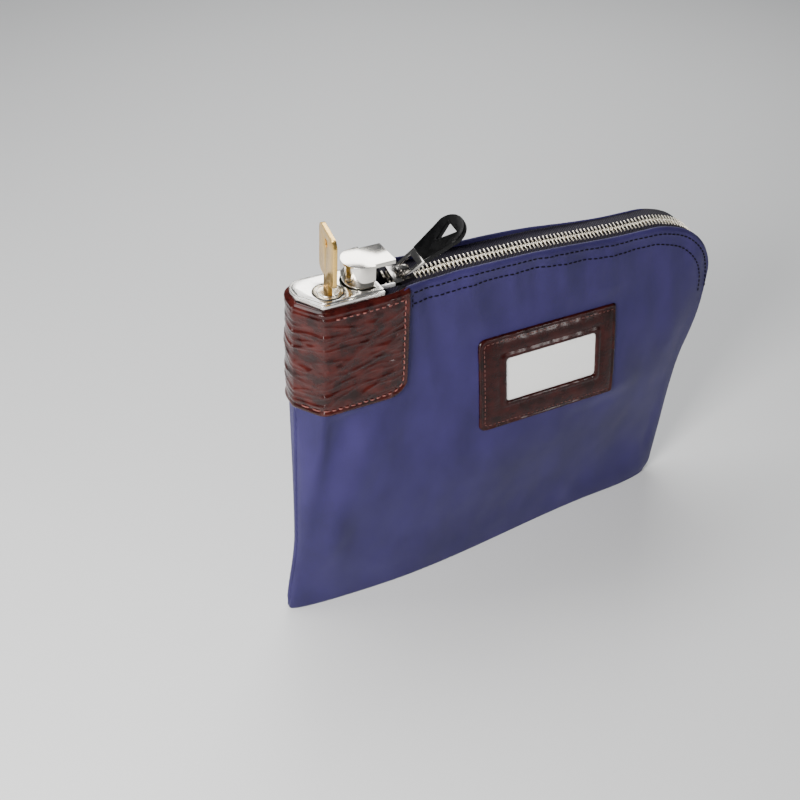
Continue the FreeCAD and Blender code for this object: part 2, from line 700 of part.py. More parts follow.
def make_dock():
    """Open trough under the nose, which the slider is pushed into before locking."""
    outer = box(HOUSING_RIGHT + 0.05, DOCK_RIGHT, -DOCK_HALF, DOCK_HALF, DOCK_FLOOR, 216.8)
    inner = box(HOUSING_RIGHT + 1.5, DOCK_RIGHT + 1, -DOCK_HALF + 1.5, DOCK_HALF - 1.5, DOCK_FLOOR + 1.5, 218)
    trough = outer.cut(inner)
    return trough.cut(box(-96.0, PLATE_RIGHT + 0.2, -20, 20, PLATE_BOTTOM - 0.1, 219))


# ---- name tag holder ----

def make_tag_frame():
    plate = surface_patch(spread(TAG_LEFT, TAG_RIGHT, 8), spread(TAG_LOW, TAG_HIGH, 5), -1, 0.2, 2.0)
    rim = 2.0
    hole = box(WINDOW_LEFT - rim, WINDOW_RIGHT + rim, -30, 0, WINDOW_LOW - rim, WINDOW_HIGH + rim)
    way_xs = spread(WINDOW_RIGHT, TAG_RIGHT + 1.0, 4)
    way = surface_patch(way_xs, spread(WINDOW_LOW - rim, WINDOW_HIGH + rim, 5), -1, 0.1, 0.85)
    return plate.cut(hole).cut(way)


def make_tag_window():
    xs = spread(WINDOW_LEFT - 1.8, WINDOW_RIGHT + 1.8, 7)
    return surface_patch(xs, spread(WINDOW_LOW - 1.8, WINDOW_HIGH + 1.8, 5), -1, 0.95, 1.4)


def make_id_card():
    xs = spread(WINDOW_LEFT - 1.6, WINDOW_RIGHT + 8.0, 7)
    return surface_patch(xs, spread(WINDOW_LOW - 1.6, WINDOW_HIGH + 1.6, 5), -1, 0.25, 0.65)


# ---- stitching ----

def stitch(a, b, side, height):
    """One short thread lying on a panel between two places given as (x, z)."""
    points = []
    for x, z in (a, b):
        points.append(V(x, panel_y(x, z, side, CLOTH + height), z))
    direction = points[1].sub(points[0])
    return Part.makeCylinder(STITCH_R, direction.Length, points[0], direction)


def stitch_line(path, side, height):
    """Stitches at even steps along a list of (x, z) points."""
    stitches = []
    for (x0, z0), (x1, z1) in zip(path[:-1], path[1:]):
        length = math.hypot(x1 - x0, z1 - z0)
        count = max(int(length / STITCH_STEP), 1)
        for i in range(count):
            a = (i + 0.1) / count
            b = a + min(STITCH_LONG / length, 0.8 / count)
            start = (mix(x0, x1, a), mix(z0, z1, a))
            stop = (mix(x0, x1, b), mix(z0, z1, b))
            stitches.append(stitch(start, stop, side, height))
    return stitches


def hem_stitches(side):
    """Two rows below a hem, from the leather patch to the end of the zipper."""
    rows = []
    for drop in (5.0, 11.0):
        path = []
        for u in spread(0.215, 0.96, 26):
            x, z = top_edge(u, side)
            inward = smooth(0.72, 1.0, u)
            path.append((x - drop * inward, z - drop * (1.0 - 0.7 * inward)))
        path = [p for p in path if p[0] > PATCH_RIGHT + 1.0]
        rows += stitch_line(path, side, STITCH_R + 1.0)
    return rows


def patch_stitches():
    rows = []
    height = PATCH_GAP + PATCH_THICK + 1.1 + STITCH_R
    path = [(-116.0, PATCH_LOW + 4.0), (PATCH_RIGHT - 4.0, PATCH_LOW + 4.0)]
    path += [(PATCH_RIGHT - 4.0, LOCK_TOP - 4.0), (-116.0, LOCK_TOP - 4.0)]
    for side in (-1, 1):
        rows += stitch_line(path, side, height)
    return rows


def tag_stitches():
    inset = 3.0
    path = [
        (TAG_RIGHT - inset, TAG_HIGH - inset),
        (TAG_LEFT + inset, TAG_HIGH - inset),
        (TAG_LEFT + inset, TAG_LOW + inset),
        (TAG_RIGHT - inset, TAG_LOW + inset),
    ]
    return stitch_line(path, -1, 2.0 + STITCH_R + 0.1)


def main():
    os.makedirs("parts", exist_ok=True)
    save("front_panel", make_panel(-1))
    save("back_panel", make_panel(1))
    save("bottom_strip", make_bottom())
    save("left_binding", side_binding(left_seam_x, 4.0, PATCH_LOW - 1.0, 2.2, 1.2))
    save("right_binding", side_binding(right_seam_x, 4.0, CORNER_Z - 2.0, 2.2, 1.2))
    save("lock_patch", make_patch())
    save("front_teeth", row_teeth(-1))
    save("back_teeth", row_teeth(1))
    save("front_tape", row_tape(-1))
    save("back_tape", row_tape(1))
    save("front_corner_teeth", corner_row(-1))
    save("back_corner_teeth", corner_row(1))
    save("front_corner_tape", corner_tape(-1))
    save("back_corner_tape", corner_tape(1))
    save("zipper_slider", make_slider())
    save("pull_link", make_pull_link())
    save("pull_grip", make_pull_grip())
    save("lock_housing", make_housing())
    save("face_plate", make_face_plate())
    save("slider_dock", make_dock())
    save("lock_plug", make_plug())
    save("key", make_key())
    save("key_pins", key_pins())
    save("driver_pins", driver_pins())
    save("pin_springs", pin_springs())
    save("pin_cover", box(PLUG_X - 2.5, PLUG_X + 2.5, HOUSING_HALF - 1.15, HOUSING_HALF, 186.6, 212.9))
    save("lock_cam", make_cam())
    save("cam_screw", make_cam_screw())
    save("popup_head", make_head())
    save("head_spring", coil(SPRING_X, 0.0, HOUSING_BOTTOM + 0.05, SPRING_TOP, 1.6, 0.4, 14))
    save("cross_pin", rod_y(CROSS_X, CROSS_Z, -HOUSING_HALF, HOUSING_HALF, CROSS_R - 0.02))
    save("bottom_cover", make_bottom_cover())
    save("cover_screws", cover_screws())
    save("tag_frame", make_tag_frame())
    save("tag_window", make_tag_window())
    save("id_card", make_id_card())
    save("front_hem_stitching", hem_stitches(-1))
    save("back_hem_stitching", hem_stitches(1))
    save("patch_stitching", patch_stitches())
    save("tag_stitching", tag_stitches())


main()
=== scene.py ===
import json
import math

import bmesh
import bpy
from mathutils import Matrix, Vector, noise


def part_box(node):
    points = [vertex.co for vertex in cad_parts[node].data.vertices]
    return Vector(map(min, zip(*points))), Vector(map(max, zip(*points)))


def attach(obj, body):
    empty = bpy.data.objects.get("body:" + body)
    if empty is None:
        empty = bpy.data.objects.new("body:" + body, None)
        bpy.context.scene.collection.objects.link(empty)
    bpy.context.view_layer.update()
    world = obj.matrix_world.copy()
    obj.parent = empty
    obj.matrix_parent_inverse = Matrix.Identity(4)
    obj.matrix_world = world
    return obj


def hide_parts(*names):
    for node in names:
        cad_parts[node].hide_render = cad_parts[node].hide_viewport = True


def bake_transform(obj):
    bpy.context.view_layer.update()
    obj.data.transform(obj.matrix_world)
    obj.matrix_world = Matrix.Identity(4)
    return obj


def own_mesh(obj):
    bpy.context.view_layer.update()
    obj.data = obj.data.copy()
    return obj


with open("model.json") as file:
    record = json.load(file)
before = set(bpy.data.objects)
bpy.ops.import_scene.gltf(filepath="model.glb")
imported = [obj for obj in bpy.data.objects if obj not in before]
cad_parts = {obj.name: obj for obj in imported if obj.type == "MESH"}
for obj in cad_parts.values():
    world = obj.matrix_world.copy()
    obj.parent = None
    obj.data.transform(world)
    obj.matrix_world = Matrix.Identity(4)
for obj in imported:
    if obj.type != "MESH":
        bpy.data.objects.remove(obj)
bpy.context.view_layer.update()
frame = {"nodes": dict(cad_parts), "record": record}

# Looks of a nylon deposit bag: cloth, leather patch and tag holder, zipper, thread and metal.
# Shapes are worked out in millimetres in the frame's axes and scaled by MM when a mesh is made.

MM = 0.001


def box_mm(node):
    """Low and high corner of a CAD node's box, in millimetres."""
    low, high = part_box(node)
    return Vector(low) / MM, Vector(high) / MM


# ---- the bag's shape: the frame's outline, with the sway and slack that only the cloth has ----

PANEL_LOW, PANEL_HIGH = box_mm("front_panel")
TAG_BOX_LOW, TAG_BOX_HIGH = box_mm("tag_frame")
DOCK_HIGH = box_mm("slider_dock")[1]
PLATE_HIGH = box_mm("face_plate")[1]

BAG_LEFT = PANEL_LOW.x
BAG_RIGHT = PANEL_HIGH.x
BASE_RIGHT = 131.0  # right end of the lower edge, further out than in the frame
LOCK_TOP = PANEL_HIGH.z
BASE_HALF = 7.0  # half of the inner thickness at the base, the lock and the zipper
LOCK_HALF = 14.0
MOUTH_HALF = 9.3
MOUTH_START = -93.0
BELLY = 3.6
SWAY = 12.0
FACES = (("front", -1), ("back", 1))  # side is -1 on the front and 1 on the back
CLOTH = 1.2
SEAM_GAP = 0.3
SLANT_LONG = 9.5
CORNER_X = 80.0  # middle and radii of the round corner
CORNER_Z = 150.0
CORNER_A = 55.0
CORNER_B = 60.0
STRAIGHT_SHARE = 0.72  # share of the hem that lies before the corner
FRONT_HEM_LIFT = 0.6
BACK_HEM_LIFT = (5.2, 2.2)
FOLD_SLANT = 0.33

CHAIN_START = -77.0
CHAIN_Z = 213.4
CHAIN_Y = -0.5
CHAIN_SLOPE = math.radians(1.25)
CHAIN_ROLL = math.radians(16.0)
CHAIN_RISE = 1.3
CHAIN_END = 72.0
MOUTH_FULL = CHAIN_START + 12.0
ROW_START = CHAIN_START - 0.2  # before this place the two rows part, by ROW_OPENING for each mm
ROW_OPENING = 0.31
TOOTH_PITCH = 2.54
TOOTH_ROOT = 3.1
TOOTH_ROUND = 0.22
TOOTH_BARS = ((0.3, TOOTH_ROOT + 0.75, 0.44, 0.78), (-0.7, 0.5, 0.5, 0.6))  # y, y, half x, half z
TAPE_INNER = TOOTH_ROOT - 0.5
TAPE_LIFTS = (0.3, -0.3)
TUCK_LIFTS = (0.0, -0.5)
CORNER_START = -4.0  # degrees round the corner
CORNER_STOP = 76.0

PATCH_RIGHT = -78.0
PATCH_LOW = box_mm("lock_patch")[0].z + 1.5
PATCH_TOP = LOCK_TOP - 0.1
PATCH_GAP = 0.35
PATCH_THICK = 1.5
PATCH_CORNER = 11.0
PATCH_HEM = 3.8
PATCH_TUCK = -0.95
PATCH_MIDDLE = -100.0

# radius, step and length of the stitches; the join is the short row down beside the patch
HEM_THREAD = (0.42, 3.4, 2.5)
JOIN_THREAD = (0.26, 3.0, 2.2)
PATCH_THREAD = (0.42, 3.7, 2.6)
TAG_THREAD = (0.3, 2.9, 2.1)
THREAD_LEAN = 0.12  # upward lean of a thread's normal on the bag's faces
HEM_STITCH_DROPS = (3.6, 10.4)
JOIN_X = PATCH_RIGHT + 2.2
JOIN_TOP, JOIN_LOW = 210.0, 199.0

TAG_CENTRE = ((TAG_BOX_LOW.x + TAG_BOX_HIGH.x) / 2.0, (TAG_BOX_LOW.z + TAG_BOX_HIGH.z) / 2.0)
TAG_SIZE = (TAG_BOX_HIGH.x - TAG_BOX_LOW.x, TAG_BOX_HIGH.z - TAG_BOX_LOW.z)
WINDOW_CENTRE = (16.5, 136.5)
WINDOW_SIZE = (61.0, 28.0)


def smooth(a, b, x):
    """0 up to a and 1 from b on, with a soft step between them."""
    t = min(max((x - a) / (b - a), 0.0), 1.0)
    return t * t * (3.0 - 2.0 * t)


def mix(a, b, t):
    return a + (b - a) * t


def bell(x, middle, width):
    return math.exp(-(((x - middle) / width) ** 2))


def chain_bow(x):
    """The closed zipper bows up a little beyond the slider and sags towards the corner."""
    rise = CHAIN_RISE * smooth(CHAIN_START + 8.0, -42.0, x)
    sag = 2.0 * CHAIN_RISE * smooth(-5.0, 66.0, x)
    return rise - sag + CHAIN_RISE * smooth(92.0, 116.0, x)


def chain_z(x):
    """Height of the middle of the closed zipper."""
    if x <= CORNER_X:
        return CHAIN_Z - math.tan(CHAIN_SLOPE) * (x - CHAIN_START) + chain_bow(x)
    across = min((x - CORNER_X) / CORNER_A, 1.0)
    return CORNER_Z + CORNER_B * math.sqrt(1.0 - across * across) + chain_bow(x)


def hem_lift(x, side):
    """How far a folded hem stands above the middle of the zipper; the back one sags."""
    return FRONT_HEM_LIFT if side < 0 else mix(*BACK_HEM_LIFT, smooth(-25.0, 65.0, x))


def mouth_share(x):
    """0 over the lock and 1 where the zipper's mouth has its full width."""
    return smooth(MOUTH_START, MOUTH_FULL, x)


def top_edge(u, side):
    """Hem of one panel, from the lock end to where the zipper ends."""
    if u <= STRAIGHT_SHARE:
        x = mix(BAG_LEFT, CORNER_X, u / STRAIGHT_SHARE)
        under_leather = 1.6 * (1.0 - smooth(-86.0, PATCH_RIGHT - 1.0, x))
        return x, mix(LOCK_TOP, chain_z(x) + hem_lift(x, side), mouth_share(x)) - under_leather
    angle = math.pi / 2.0 * (u - STRAIGHT_SHARE) / (1.0 - STRAIGHT_SHARE)
    lift = mix(hem_lift(CORNER_X, side), 0.0, math.sin(angle))
    x = CORNER_X + (BAG_RIGHT - CORNER_X) * math.sin(angle)
    return x, CORNER_Z + (CORNER_B + lift) * math.cos(angle) + chain_bow(x)


def right_x(v):
    """Sewn right edge at a share of the straight part's height."""
    ripple = 0.9 * math.sin(7.0 * v) * (1.0 - v)
    return mix(BASE_RIGHT, BAG_RIGHT, smooth(0.6, 1.0, v)) + ripple


def corner_inset(z):
    """How far the lower right corner is rounded off."""
    return 4.0 * (1.0 - smooth(0.0, 12.0, z)) ** 2


def right_edge(z):
    return right_x(min(z / CORNER_Z, 1.0)) - corner_inset(z)


def corner_flare(x, z):
    """The lower left corner of the empty bag is pulled out to a point."""
    return -5.5 * (1.0 - smooth(0.0, 55.0, z)) * (1.0 - smooth(0.0, 40.0, x - BAG_LEFT))


def outline(u, v, side):
    """Place on a panel, from shares along the bag and up it."""
    top_x, top_z = top_edge(u, side)
    x = mix(mix(BAG_LEFT, BASE_RIGHT, u), top_x, v)
    x += u * (right_x(v) - mix(BASE_RIGHT, BAG_RIGHT, v))
    x -= smooth(0.9, 1.0, u) * corner_inset(top_z * v)
    return x, top_z * v


def hollow(x, z, side=1):
    """Half of the bag's inner thickness at a place; the front is cut away at the lock end."""
    up = min(max(z / LOCK_TOP, 0.0), 1.0)
    top = mix(LOCK_HALF, MOUTH_HALF, mouth_share(x))
    full = mix(BASE_HALF, top, up) + 4.0 * BELLY * up * (1.0 - up)
    at_lock = smooth(0.3, 0.75, up)
    left_r = mix(mix(70.0, 22.0, smooth(0.0, 0.25, up)), 11.0, at_lock)
    power = mix(2.0, 2.5, at_lock)
    left_in = min(max((x - BAG_LEFT) / left_r, 0.0), 1.0)
    right_r = mix(40.0, 26.0, smooth(60.0, CORNER_Z, z))
    right_in = min(max((right_edge(z) - x) / right_r, 0.0), 1.0)
    left = (1.0 - (1.0 - left_in) ** power) ** (1.0 / power)
    if side < 0:
        slant = max(x - BAG_LEFT, 0.0) / SLANT_LONG
        left = mix(left, slant / (1.0 + slant**8) ** 0.125, smooth(0.45, 0.7, up))
    return full * left * math.sqrt(1.0 - (1.0 - right_in) ** 2)


def hem_below(x, z, side):
    """Roughly how far a place is below the hem."""
    reach = max(BAG_RIGHT - x, 0.0)
    from_side = 0.35 * reach + 200.0 * smooth(0.0, 60.0, reach)
    return min(chain_z(x) + hem_lift(x, side) - z, from_side)


def wave(x, z, sx, sz, seed):
    """Noise with waves sx long along the bag and sz long up it."""
    return noise.noise(Vector((x / sx, z / sz, seed)))


def relief(x, z, side):
    """Folds and puckers of slack cloth, outwards positive, gone at the seams and the patch."""
    seed = 3.7 if side < 0 else 11.3
    below = hem_below(x, z, side)
    seam = smooth(0.0, 16.0, x - BAG_LEFT) * smooth(0.0, 14.0, right_edge(z) - x)
    seam *= smooth(0.0, 18.0, z) * smooth(-1.0, 14.0, below)
    patch = 1.0 - smooth(-6.0, 6.0, PATCH_RIGHT - x) * smooth(-8.0, 4.0, z - PATCH_LOW)
    fade = math.exp(-max(below - 8.0, 0.0) / 26.0)
    pucker = 0.9 * wave(x + 0.15 * z, z, 7.0, 60.0, seed) * fade
    drape = wave(x + 0.3 * z, z, 19.0, 130.0, seed + 1.0) * mix(1.2, 2.6, smooth(120.0, 190.0, z))
    soft = 0.9 * wave(x, z, 60.0, 60.0, seed + 2.0)
    crumple = 0.45 * wave(x, z, 13.0, 18.0, seed + 3.0)
    slanted = x - FOLD_SLANT * z
    tuck = -4.2 * bell(slanted, -159.0, 12.0) * smooth(165.0, 128.0, z) * smooth(6.0, 50.0, z)
    ridge = 1.6 * bell(slanted, -138.0, 10.0) * smooth(150.0, 110.0, z) * smooth(6.0, 60.0, z)
    fall = -3.4 * smooth(-6.0, 46.0, x - 40.0 - 0.42 * z) * smooth(0.0, 40.0, z)
    loose = 1.0 - 0.75 * bell(x, TAG_CENTRE[0], 52.0) * bell(z, TAG_CENTRE[1], 36.0)
    belly = (7.4 if side < 0 else 2.5) * bell(z, 92.0, 44.0) * bell(x, 4.0, 84.0)
    lean = -2.4 * bell(z, 176.0, 24.0) * bell(x, -5.0, 70.0) if side < 0 else 0.0
    folds = ((drape + soft + crumple) * loose + belly + lean + tuck + ridge + fall) * seam * patch
    return folds + pucker * smooth(-1.0, 5.0, below) * patch * smooth(0.0, 14.0, BAG_RIGHT - x)


def sway(x, z):
    """The empty bag's lower right part hangs further back than its mouth."""
    return SWAY * smooth(-75.0, 95.0, x) * (1.0 - smooth(5.0, 175.0, z))


def slack_y(x, z, side, out):
    """Y of a panel's outer face where nothing is sewn on it."""
    full = SEAM_GAP + CLOTH + hollow(x, z, side)
    bend = relief(x, z, side) if full > 3.0 else 0.0
    return side * max(full + bend + out, SEAM_GAP + 0.4 + out) + sway(x, z)


def tag_stiffness(x, z):
    """Share to which the sewn tag holder keeps the cloth under it straight along x."""
    left = smooth(TAG_BOX_LOW.x - 24.0, TAG_BOX_LOW.x + 1.0, x)
    right = smooth(TAG_BOX_HIGH.x + 32.0, TAG_BOX_HIGH.x - 0.5, x)
    below = smooth(TAG_BOX_LOW.z - 14.0, TAG_BOX_LOW.z + 3.0, z)
    above = smooth(TAG_BOX_HIGH.z + 14.0, TAG_BOX_HIGH.z - 4.0, z)
    return left * right * below * above


def skin_y(x, z, side, out):
    """Y of a panel's outer face at a place; out is measured outwards from it."""
    y = slack_y(x, z, side, out)
    stiff = tag_stiffness(x, z) if side < 0 else 0.0
    return mix(y, slack_y(TAG_CENTRE[0], z, side, out), stiff) if stiff > 0.0 else y


# ---- mesh making ----

def add_object(name, data):
    thing = bpy.data.objects.new(name, data)
    bpy.context.scene.collection.objects.link(thing)
    return thing


def new_piece(name, verts, faces, material, slot, body="bag"):
    """A visible piece from points in millimetres; a piece with no body is not attached to one."""
    mesh = bpy.data.meshes.new(name)
    mesh.from_pydata([tuple(Vector(v) * MM) for v in verts], [], faces)
    bm = bmesh.new()
    bm.from_mesh(mesh)
    bmesh.ops.recalc_face_normals(bm, faces=bm.faces)
    bm.to_mesh(mesh)
    bm.free()
    mesh.polygons.foreach_set("use_smooth", [True] * len(mesh.polygons))
    mesh.materials.append(material)
    piece = add_object(name, mesh)
    if body:
        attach(piece, body)
    return piece


def shell(near, far, ring=False):
    """Closed thick sheet between two grids of points; a ring's rows close on themselves."""
    rows = len(near)
    cols = len(near[0])
    verts = [p for grid in (near, far) for row in grid for p in row]
    layer = rows * cols
    faces = []
    for i in range(rows if ring else rows - 1):
        a = i * cols
        b = (i + 1) % rows * cols
        for start in (0, layer):
            for j in range(start, start + cols - 1):
                faces.append((a + j, a + j + 1, b + j + 1, b + j))
        for j in (0, cols - 1):
            faces.append((a + j, b + j, b + j + layer, a + j + layer))
    if not ring:
        for end in (0, layer - cols):
            for j in range(end, end + cols - 1):
                faces.append((j, j + 1, j + 1 + layer, j + layer))
    return verts, faces


def strip_shell(stations, lifts, row_at):
    """Closed thick strip; row_at gives the points across it at a station and a lift."""
    return shell(*[[row_at(station, lift) for station in stations] for lift in lifts])


def tube(rings, closed=False):
    """Tube through rings of points, with a cap at each end unless it closes on itself."""
    sides = len(rings[0])
    verts = [p for ring in rings for p in ring]
    faces = [] if closed else [tuple(range(sides)), tuple(range(len(verts) - sides, len(verts)))]
    for i in range(len(rings) if closed else len(rings) - 1):
        a = i * sides
        b = (i + 1) % len(rings) * sides
        for k in range(sides):
            m = (k + 1) % sides
            faces.append((a + k, a + m, b + m, b + k))
    return verts, faces


def round_steps(count):
    """Even angles once round a circle."""
    return [2.0 * math.pi * k / count for k in range(count)]


def grid_normals(grid):
    """Unit normals of a grid of points, by central differences."""
    last_row = len(grid) - 1
    last_col = len(grid[0]) - 1
    normals = []
    for i, row in enumerate(grid):
        normals.append([])
        for j in range(len(row)):
            ahead = grid[min(i + 1, last_row)][j] - grid[max(i - 1, 0)][j]
            beside = row[min(j + 1, last_col)] - row[max(j - 1, 0)]
            normals[-1].append(ahead.cross(beside).normalized())
    return normals


def spread(a, b, count):
    """Even steps from a to b, both included."""
    return [mix(a, b, i / (count - 1.0)) for i in range(count)]


def join_lists(parts):
    """One vertex and face list from many."""
    verts = []
    faces = []
    for some_verts, some_faces in parts:
        start = len(verts)
        verts += some_verts
        faces += [tuple(i + start for i in face) for face in some_faces]
    return verts, faces


def along(path):
    """A function that gives the point at a distance along a flat path, and the path's length."""
    lengths = [0.0]
    for (x0, z0), (x1, z1) in zip(path[:-1], path[1:]):
        lengths.append(lengths[-1] + math.hypot(x1 - x0, z1 - z0))

    def at(distance):
        for k in range(len(path) - 1):
            if distance <= lengths[k + 1] or k == len(path) - 2:
                t = (distance - lengths[k]) / max(lengths[k + 1] - lengths[k], 1e-6)
                return (mix(path[k][0], path[k + 1][0], t), mix(path[k][1], path[k + 1][1], t))

    return at, lengths[-1]


def corner_arc(cx, cz, r, start, stop, count=9):
    """Points on an arc in the bag's face, from angle to angle in degrees."""
    angles = spread(math.radians(start), math.radians(stop), count)
    return [(cx + r * math.cos(angle), cz + r * math.sin(angle)) for angle in angles]


THREAD_SIDES = 6
# share of the stitch's length, and its thickness and lift there in radii
THREAD_PROFILE = (
    (0.0, 0.55, -0.9), (0.15, 0.95, 0.1), (0.5, 1.0, 0.45), (0.85, 0.95, 0.1), (1.0, 0.55, -0.9),
)


def thread(a, b, normal, radius):
    """One stitch: a short round thread whose two ends dive into the cloth."""
    normal = normal.normalized()
    side = (b - a).normalized().cross(normal).normalized()
    rings = []
    for share, size, lift in THREAD_PROFILE:
        centre = a.lerp(b, share) + normal * radius * lift
        spokes = [side * math.cos(t) + normal * math.sin(t) for t in round_steps(THREAD_SIDES)]
        rings.append([centre + spoke * radius * size for spoke in spokes])
    return tube(rings)


def stitched(path, place, radius, step, long):
    """Stitches at even steps along a flat path; place gives point and outward normal for (x, z)."""
    at, length = along(path)
    parts = []
    for i in range(int(length / step)):
        start, normal = place(*at(i * step + 0.2))
        stop = place(*at(i * step + 0.2 + long))[0]
        parts.append(thread(start, stop, normal, radius))
    return parts


# ---- materials ----

def socket_values(shader, values):
    for key, value in values.items():
        shader.inputs[key].default_value = value


BAND_PERIOD = 0.314  # of Blender's wave texture at scale 1


class Finish:
    """A node material being built: a principled shader and texture space in millimetres."""

    def __init__(self, name, color, roughness, metallic=0.0, **extra):
        self.material = bpy.data.materials.new(name)
        self.material.use_nodes = True
        self.nodes = self.material.node_tree.nodes
        self.links = self.material.node_tree.links
        self.shader = self.nodes["Principled BSDF"]
        values = {"Base Color": (*color, 1.0), "Roughness": roughness, "Metallic": metallic}
        socket_values(self.shader, values)
        socket_values(self.shader, extra)
        where = self.nodes.new("ShaderNodeTexCoord")
        self.space = self.nodes.new("ShaderNodeMapping")
        self.space.inputs["Scale"].default_value = (1.0 / MM, 1.0 / MM, 1.0 / MM)
        self.links.new(where.outputs["Object"], self.space.inputs["Vector"])

    def placed(self, kind, vector, values):
        """A node that reads a place."""
        node = self.nodes.new(kind)
        socket_values(node, values)
        self.links.new(vector, node.inputs["Vector"])
        return node

    def scaled(self, x=1.0, y=1.0, z=1.0, turn=(0.0, 0.0, 0.0)):
        """Texture space stretched along its axes."""
        values = {"Scale": (x, y, z), "Rotation": turn}
        space = self.space.outputs["Vector"]
        return self.placed("ShaderNodeMapping", space, values).outputs["Vector"]

    def noise(self, vector, scale, detail, roughness=0.55, distortion=0.0):
        values = {"Scale": scale, "Detail": detail, "Roughness": roughness}
        texture = self.placed("ShaderNodeTexNoise", vector, {**values, "Distortion": distortion})
        return texture.outputs["Fac"]

    def cells(self, vector, scale):
        texture = self.placed("ShaderNodeTexVoronoi", vector, {"Scale": scale})
        texture.feature = "SMOOTH_F1"
        return texture.outputs["Distance"]

    def bands(self, vector, period, direction, distortion=0.0):
        values = {"Scale": BAND_PERIOD / period, "Distortion": distortion}
        texture = self.placed("ShaderNodeTexWave", vector, values)
        texture.bands_direction = direction
        return texture.outputs["Fac"]

    def math(self, operation, a, b):
        node = self.nodes.new("ShaderNodeMath")
        node.operation = operation
        for k, value in enumerate((a, b)):
            if isinstance(value, (int, float)):
                node.inputs[k].default_value = value
            else:
                self.links.new(value, node.inputs[k])
        return node.outputs[0]

    def ramp(self, value, stops):
        """Colour from a value; stops are (place, colour)."""
        node = self.nodes.new("ShaderNodeValToRGB")
        elements = node.color_ramp.elements
        while len(elements) < len(stops):
            elements.new(0.5)
        for element, (place, color) in zip(elements, stops):
            element.position = place
            element.color = (*color, 1.0)
        self.links.new(value, node.inputs["Fac"])
        return node.outputs["Color"]

    def spread_range(self, value, low, high, to_low, to_high):
        node = self.nodes.new("ShaderNodeMapRange")
        bounds = {"From Min": low, "From Max": high, "To Min": to_low, "To Max": to_high}
        socket_values(node, bounds)
        self.links.new(value, node.inputs["Value"])
        return node.outputs["Result"]

    def color(self, output):
        self.links.new(output, self.shader.inputs["Base Color"])

    def roughness(self, output):
        self.links.new(output, self.shader.inputs["Roughness"])

    def bump(self, height, distance_mm, strength=1.0, under=None):
        node = self.nodes.new("ShaderNodeBump")
        socket_values(node, {"Strength": strength, "Distance": distance_mm * MM})
        self.links.new(height, node.inputs["Height"])
        if under is not None:
            self.links.new(under, node.inputs["Normal"])
        self.links.new(node.outputs["Normal"], self.shader.inputs["Normal"])
        return node.outputs["Normal"]


WEAVE_PERIOD = 0.62
RIB_PERIOD = 1.05
TWIST_PERIOD = 0.42


def nylon(name, color, shade):
    extra = {"Sheen Weight": 0.10, "Sheen Roughness": 0.4, "Specular IOR Level": 0.3}
    f = Finish(name, color, 0.62, **extra)
    f.shader.inputs["Sheen Tint"].default_value = (0.55, 0.58, 0.95, 1.0)
    plain = f.scaled()
    weave = f.math("MAXIMUM", f.bands(plain, WEAVE_PERIOD, "X"), f.bands(plain, WEAVE_PERIOD, "Z"))
    grain = f.noise(plain, 1.6, 3.0)
    patches = f.noise(f.scaled(0.03, 0.03, 0.02), 1.0, 3.0)
    tone = f.math("ADD", f.math("MULTIPLY", grain, 0.45), f.math("MULTIPLY", patches, 0.55))
    f.color(f.ramp(tone, [(0.3, shade), (0.68, color)]))
    f.roughness(f.spread_range(grain, 0.3, 0.7, 0.52, 0.72))
    fine = f.bump(weave, 0.05, 0.7)
    f.bump(grain, 0.09, 0.6, under=fine)
    return f.material


def leather(name, color, dark, light, crease_depth, coat):
    extra = {"Coat Weight": coat, "Coat Roughness": 0.13, "Specular IOR Level": 0.06}
    f = Finish(name, color, 0.25, **extra)
    creases = f.noise(f.scaled(0.22, 0.22, 0.8, turn=(0.0, 0.2, 0.0)), 1.0, 5.0, 0.6, 0.4)
    pebble = f.cells(f.scaled(), 0.9)
    mottle = f.noise(f.scaled(0.12, 0.12, 0.16), 1.0, 3.0, 0.5)
    f.color(f.ramp(mottle, [(0.32, dark), (0.5, color), (0.72, light)]))
    f.roughness(f.spread_range(mottle, 0.3, 0.7, 0.22, 0.36))
    under = f.bump(creases, crease_depth, 0.7)
    f.bump(pebble, 0.10, 0.6, under=under)
    return f.material


def metal(name, color, roughness, brushed=(1.0, 1.0, 1.0), bump=0.003):
    f = Finish(name, color, roughness, 1.0)
    smear = f.noise(f.scaled(*brushed), 0.6, 3.0, 0.5)
    wear = f.noise(f.scaled(0.08, 0.08, 0.08), 1.0, 2.0)
    dull = tuple(0.88 * c for c in color)
    f.color(f.ramp(wear, [(0.35, dull), (0.6, color)]))
    f.roughness(f.spread_range(smear, 0.3, 0.7, roughness * 0.85, roughness * 1.25))
    f.bump(smear, bump, 0.5)
    return f.material


def moulded(name, color, roughness):
    f = Finish(name, color, roughness, **{"Specular IOR Level": 0.16})
    grain = f.noise(f.scaled(), 2.2, 4.0)
    scuff = f.noise(f.scaled(0.15, 0.15, 0.15), 1.0, 4.0)
    f.color(f.ramp(scuff, [(0.35, color), (0.75, tuple(c * 2.0 + 0.001 for c in color))]))
    f.roughness(f.spread_range(scuff, 0.3, 0.7, roughness * 0.8, roughness * 1.3))
    f.bump(grain, 0.03, 0.5)
    return f.material


def twill(name, color, light):
    f = Finish(name, color, 0.7, **{"Sheen Weight": 0.05, "Specular IOR Level": 0.25})
    slanted = f.scaled(turn=(0.0, 0.0, math.radians(52.0)))
    ribs = f.bands(slanted, RIB_PERIOD, "X", 0.6)
    fuzz = f.noise(f.scaled(), 1.8, 3.0)
    f.color(f.ramp(f.math("MULTIPLY", ribs, fuzz), [(0.1, color), (0.6, light)]))
    under = f.bump(ribs, 0.16, 0.9)
    f.bump(fuzz, 0.06, 0.5, under=under)
    return f.material


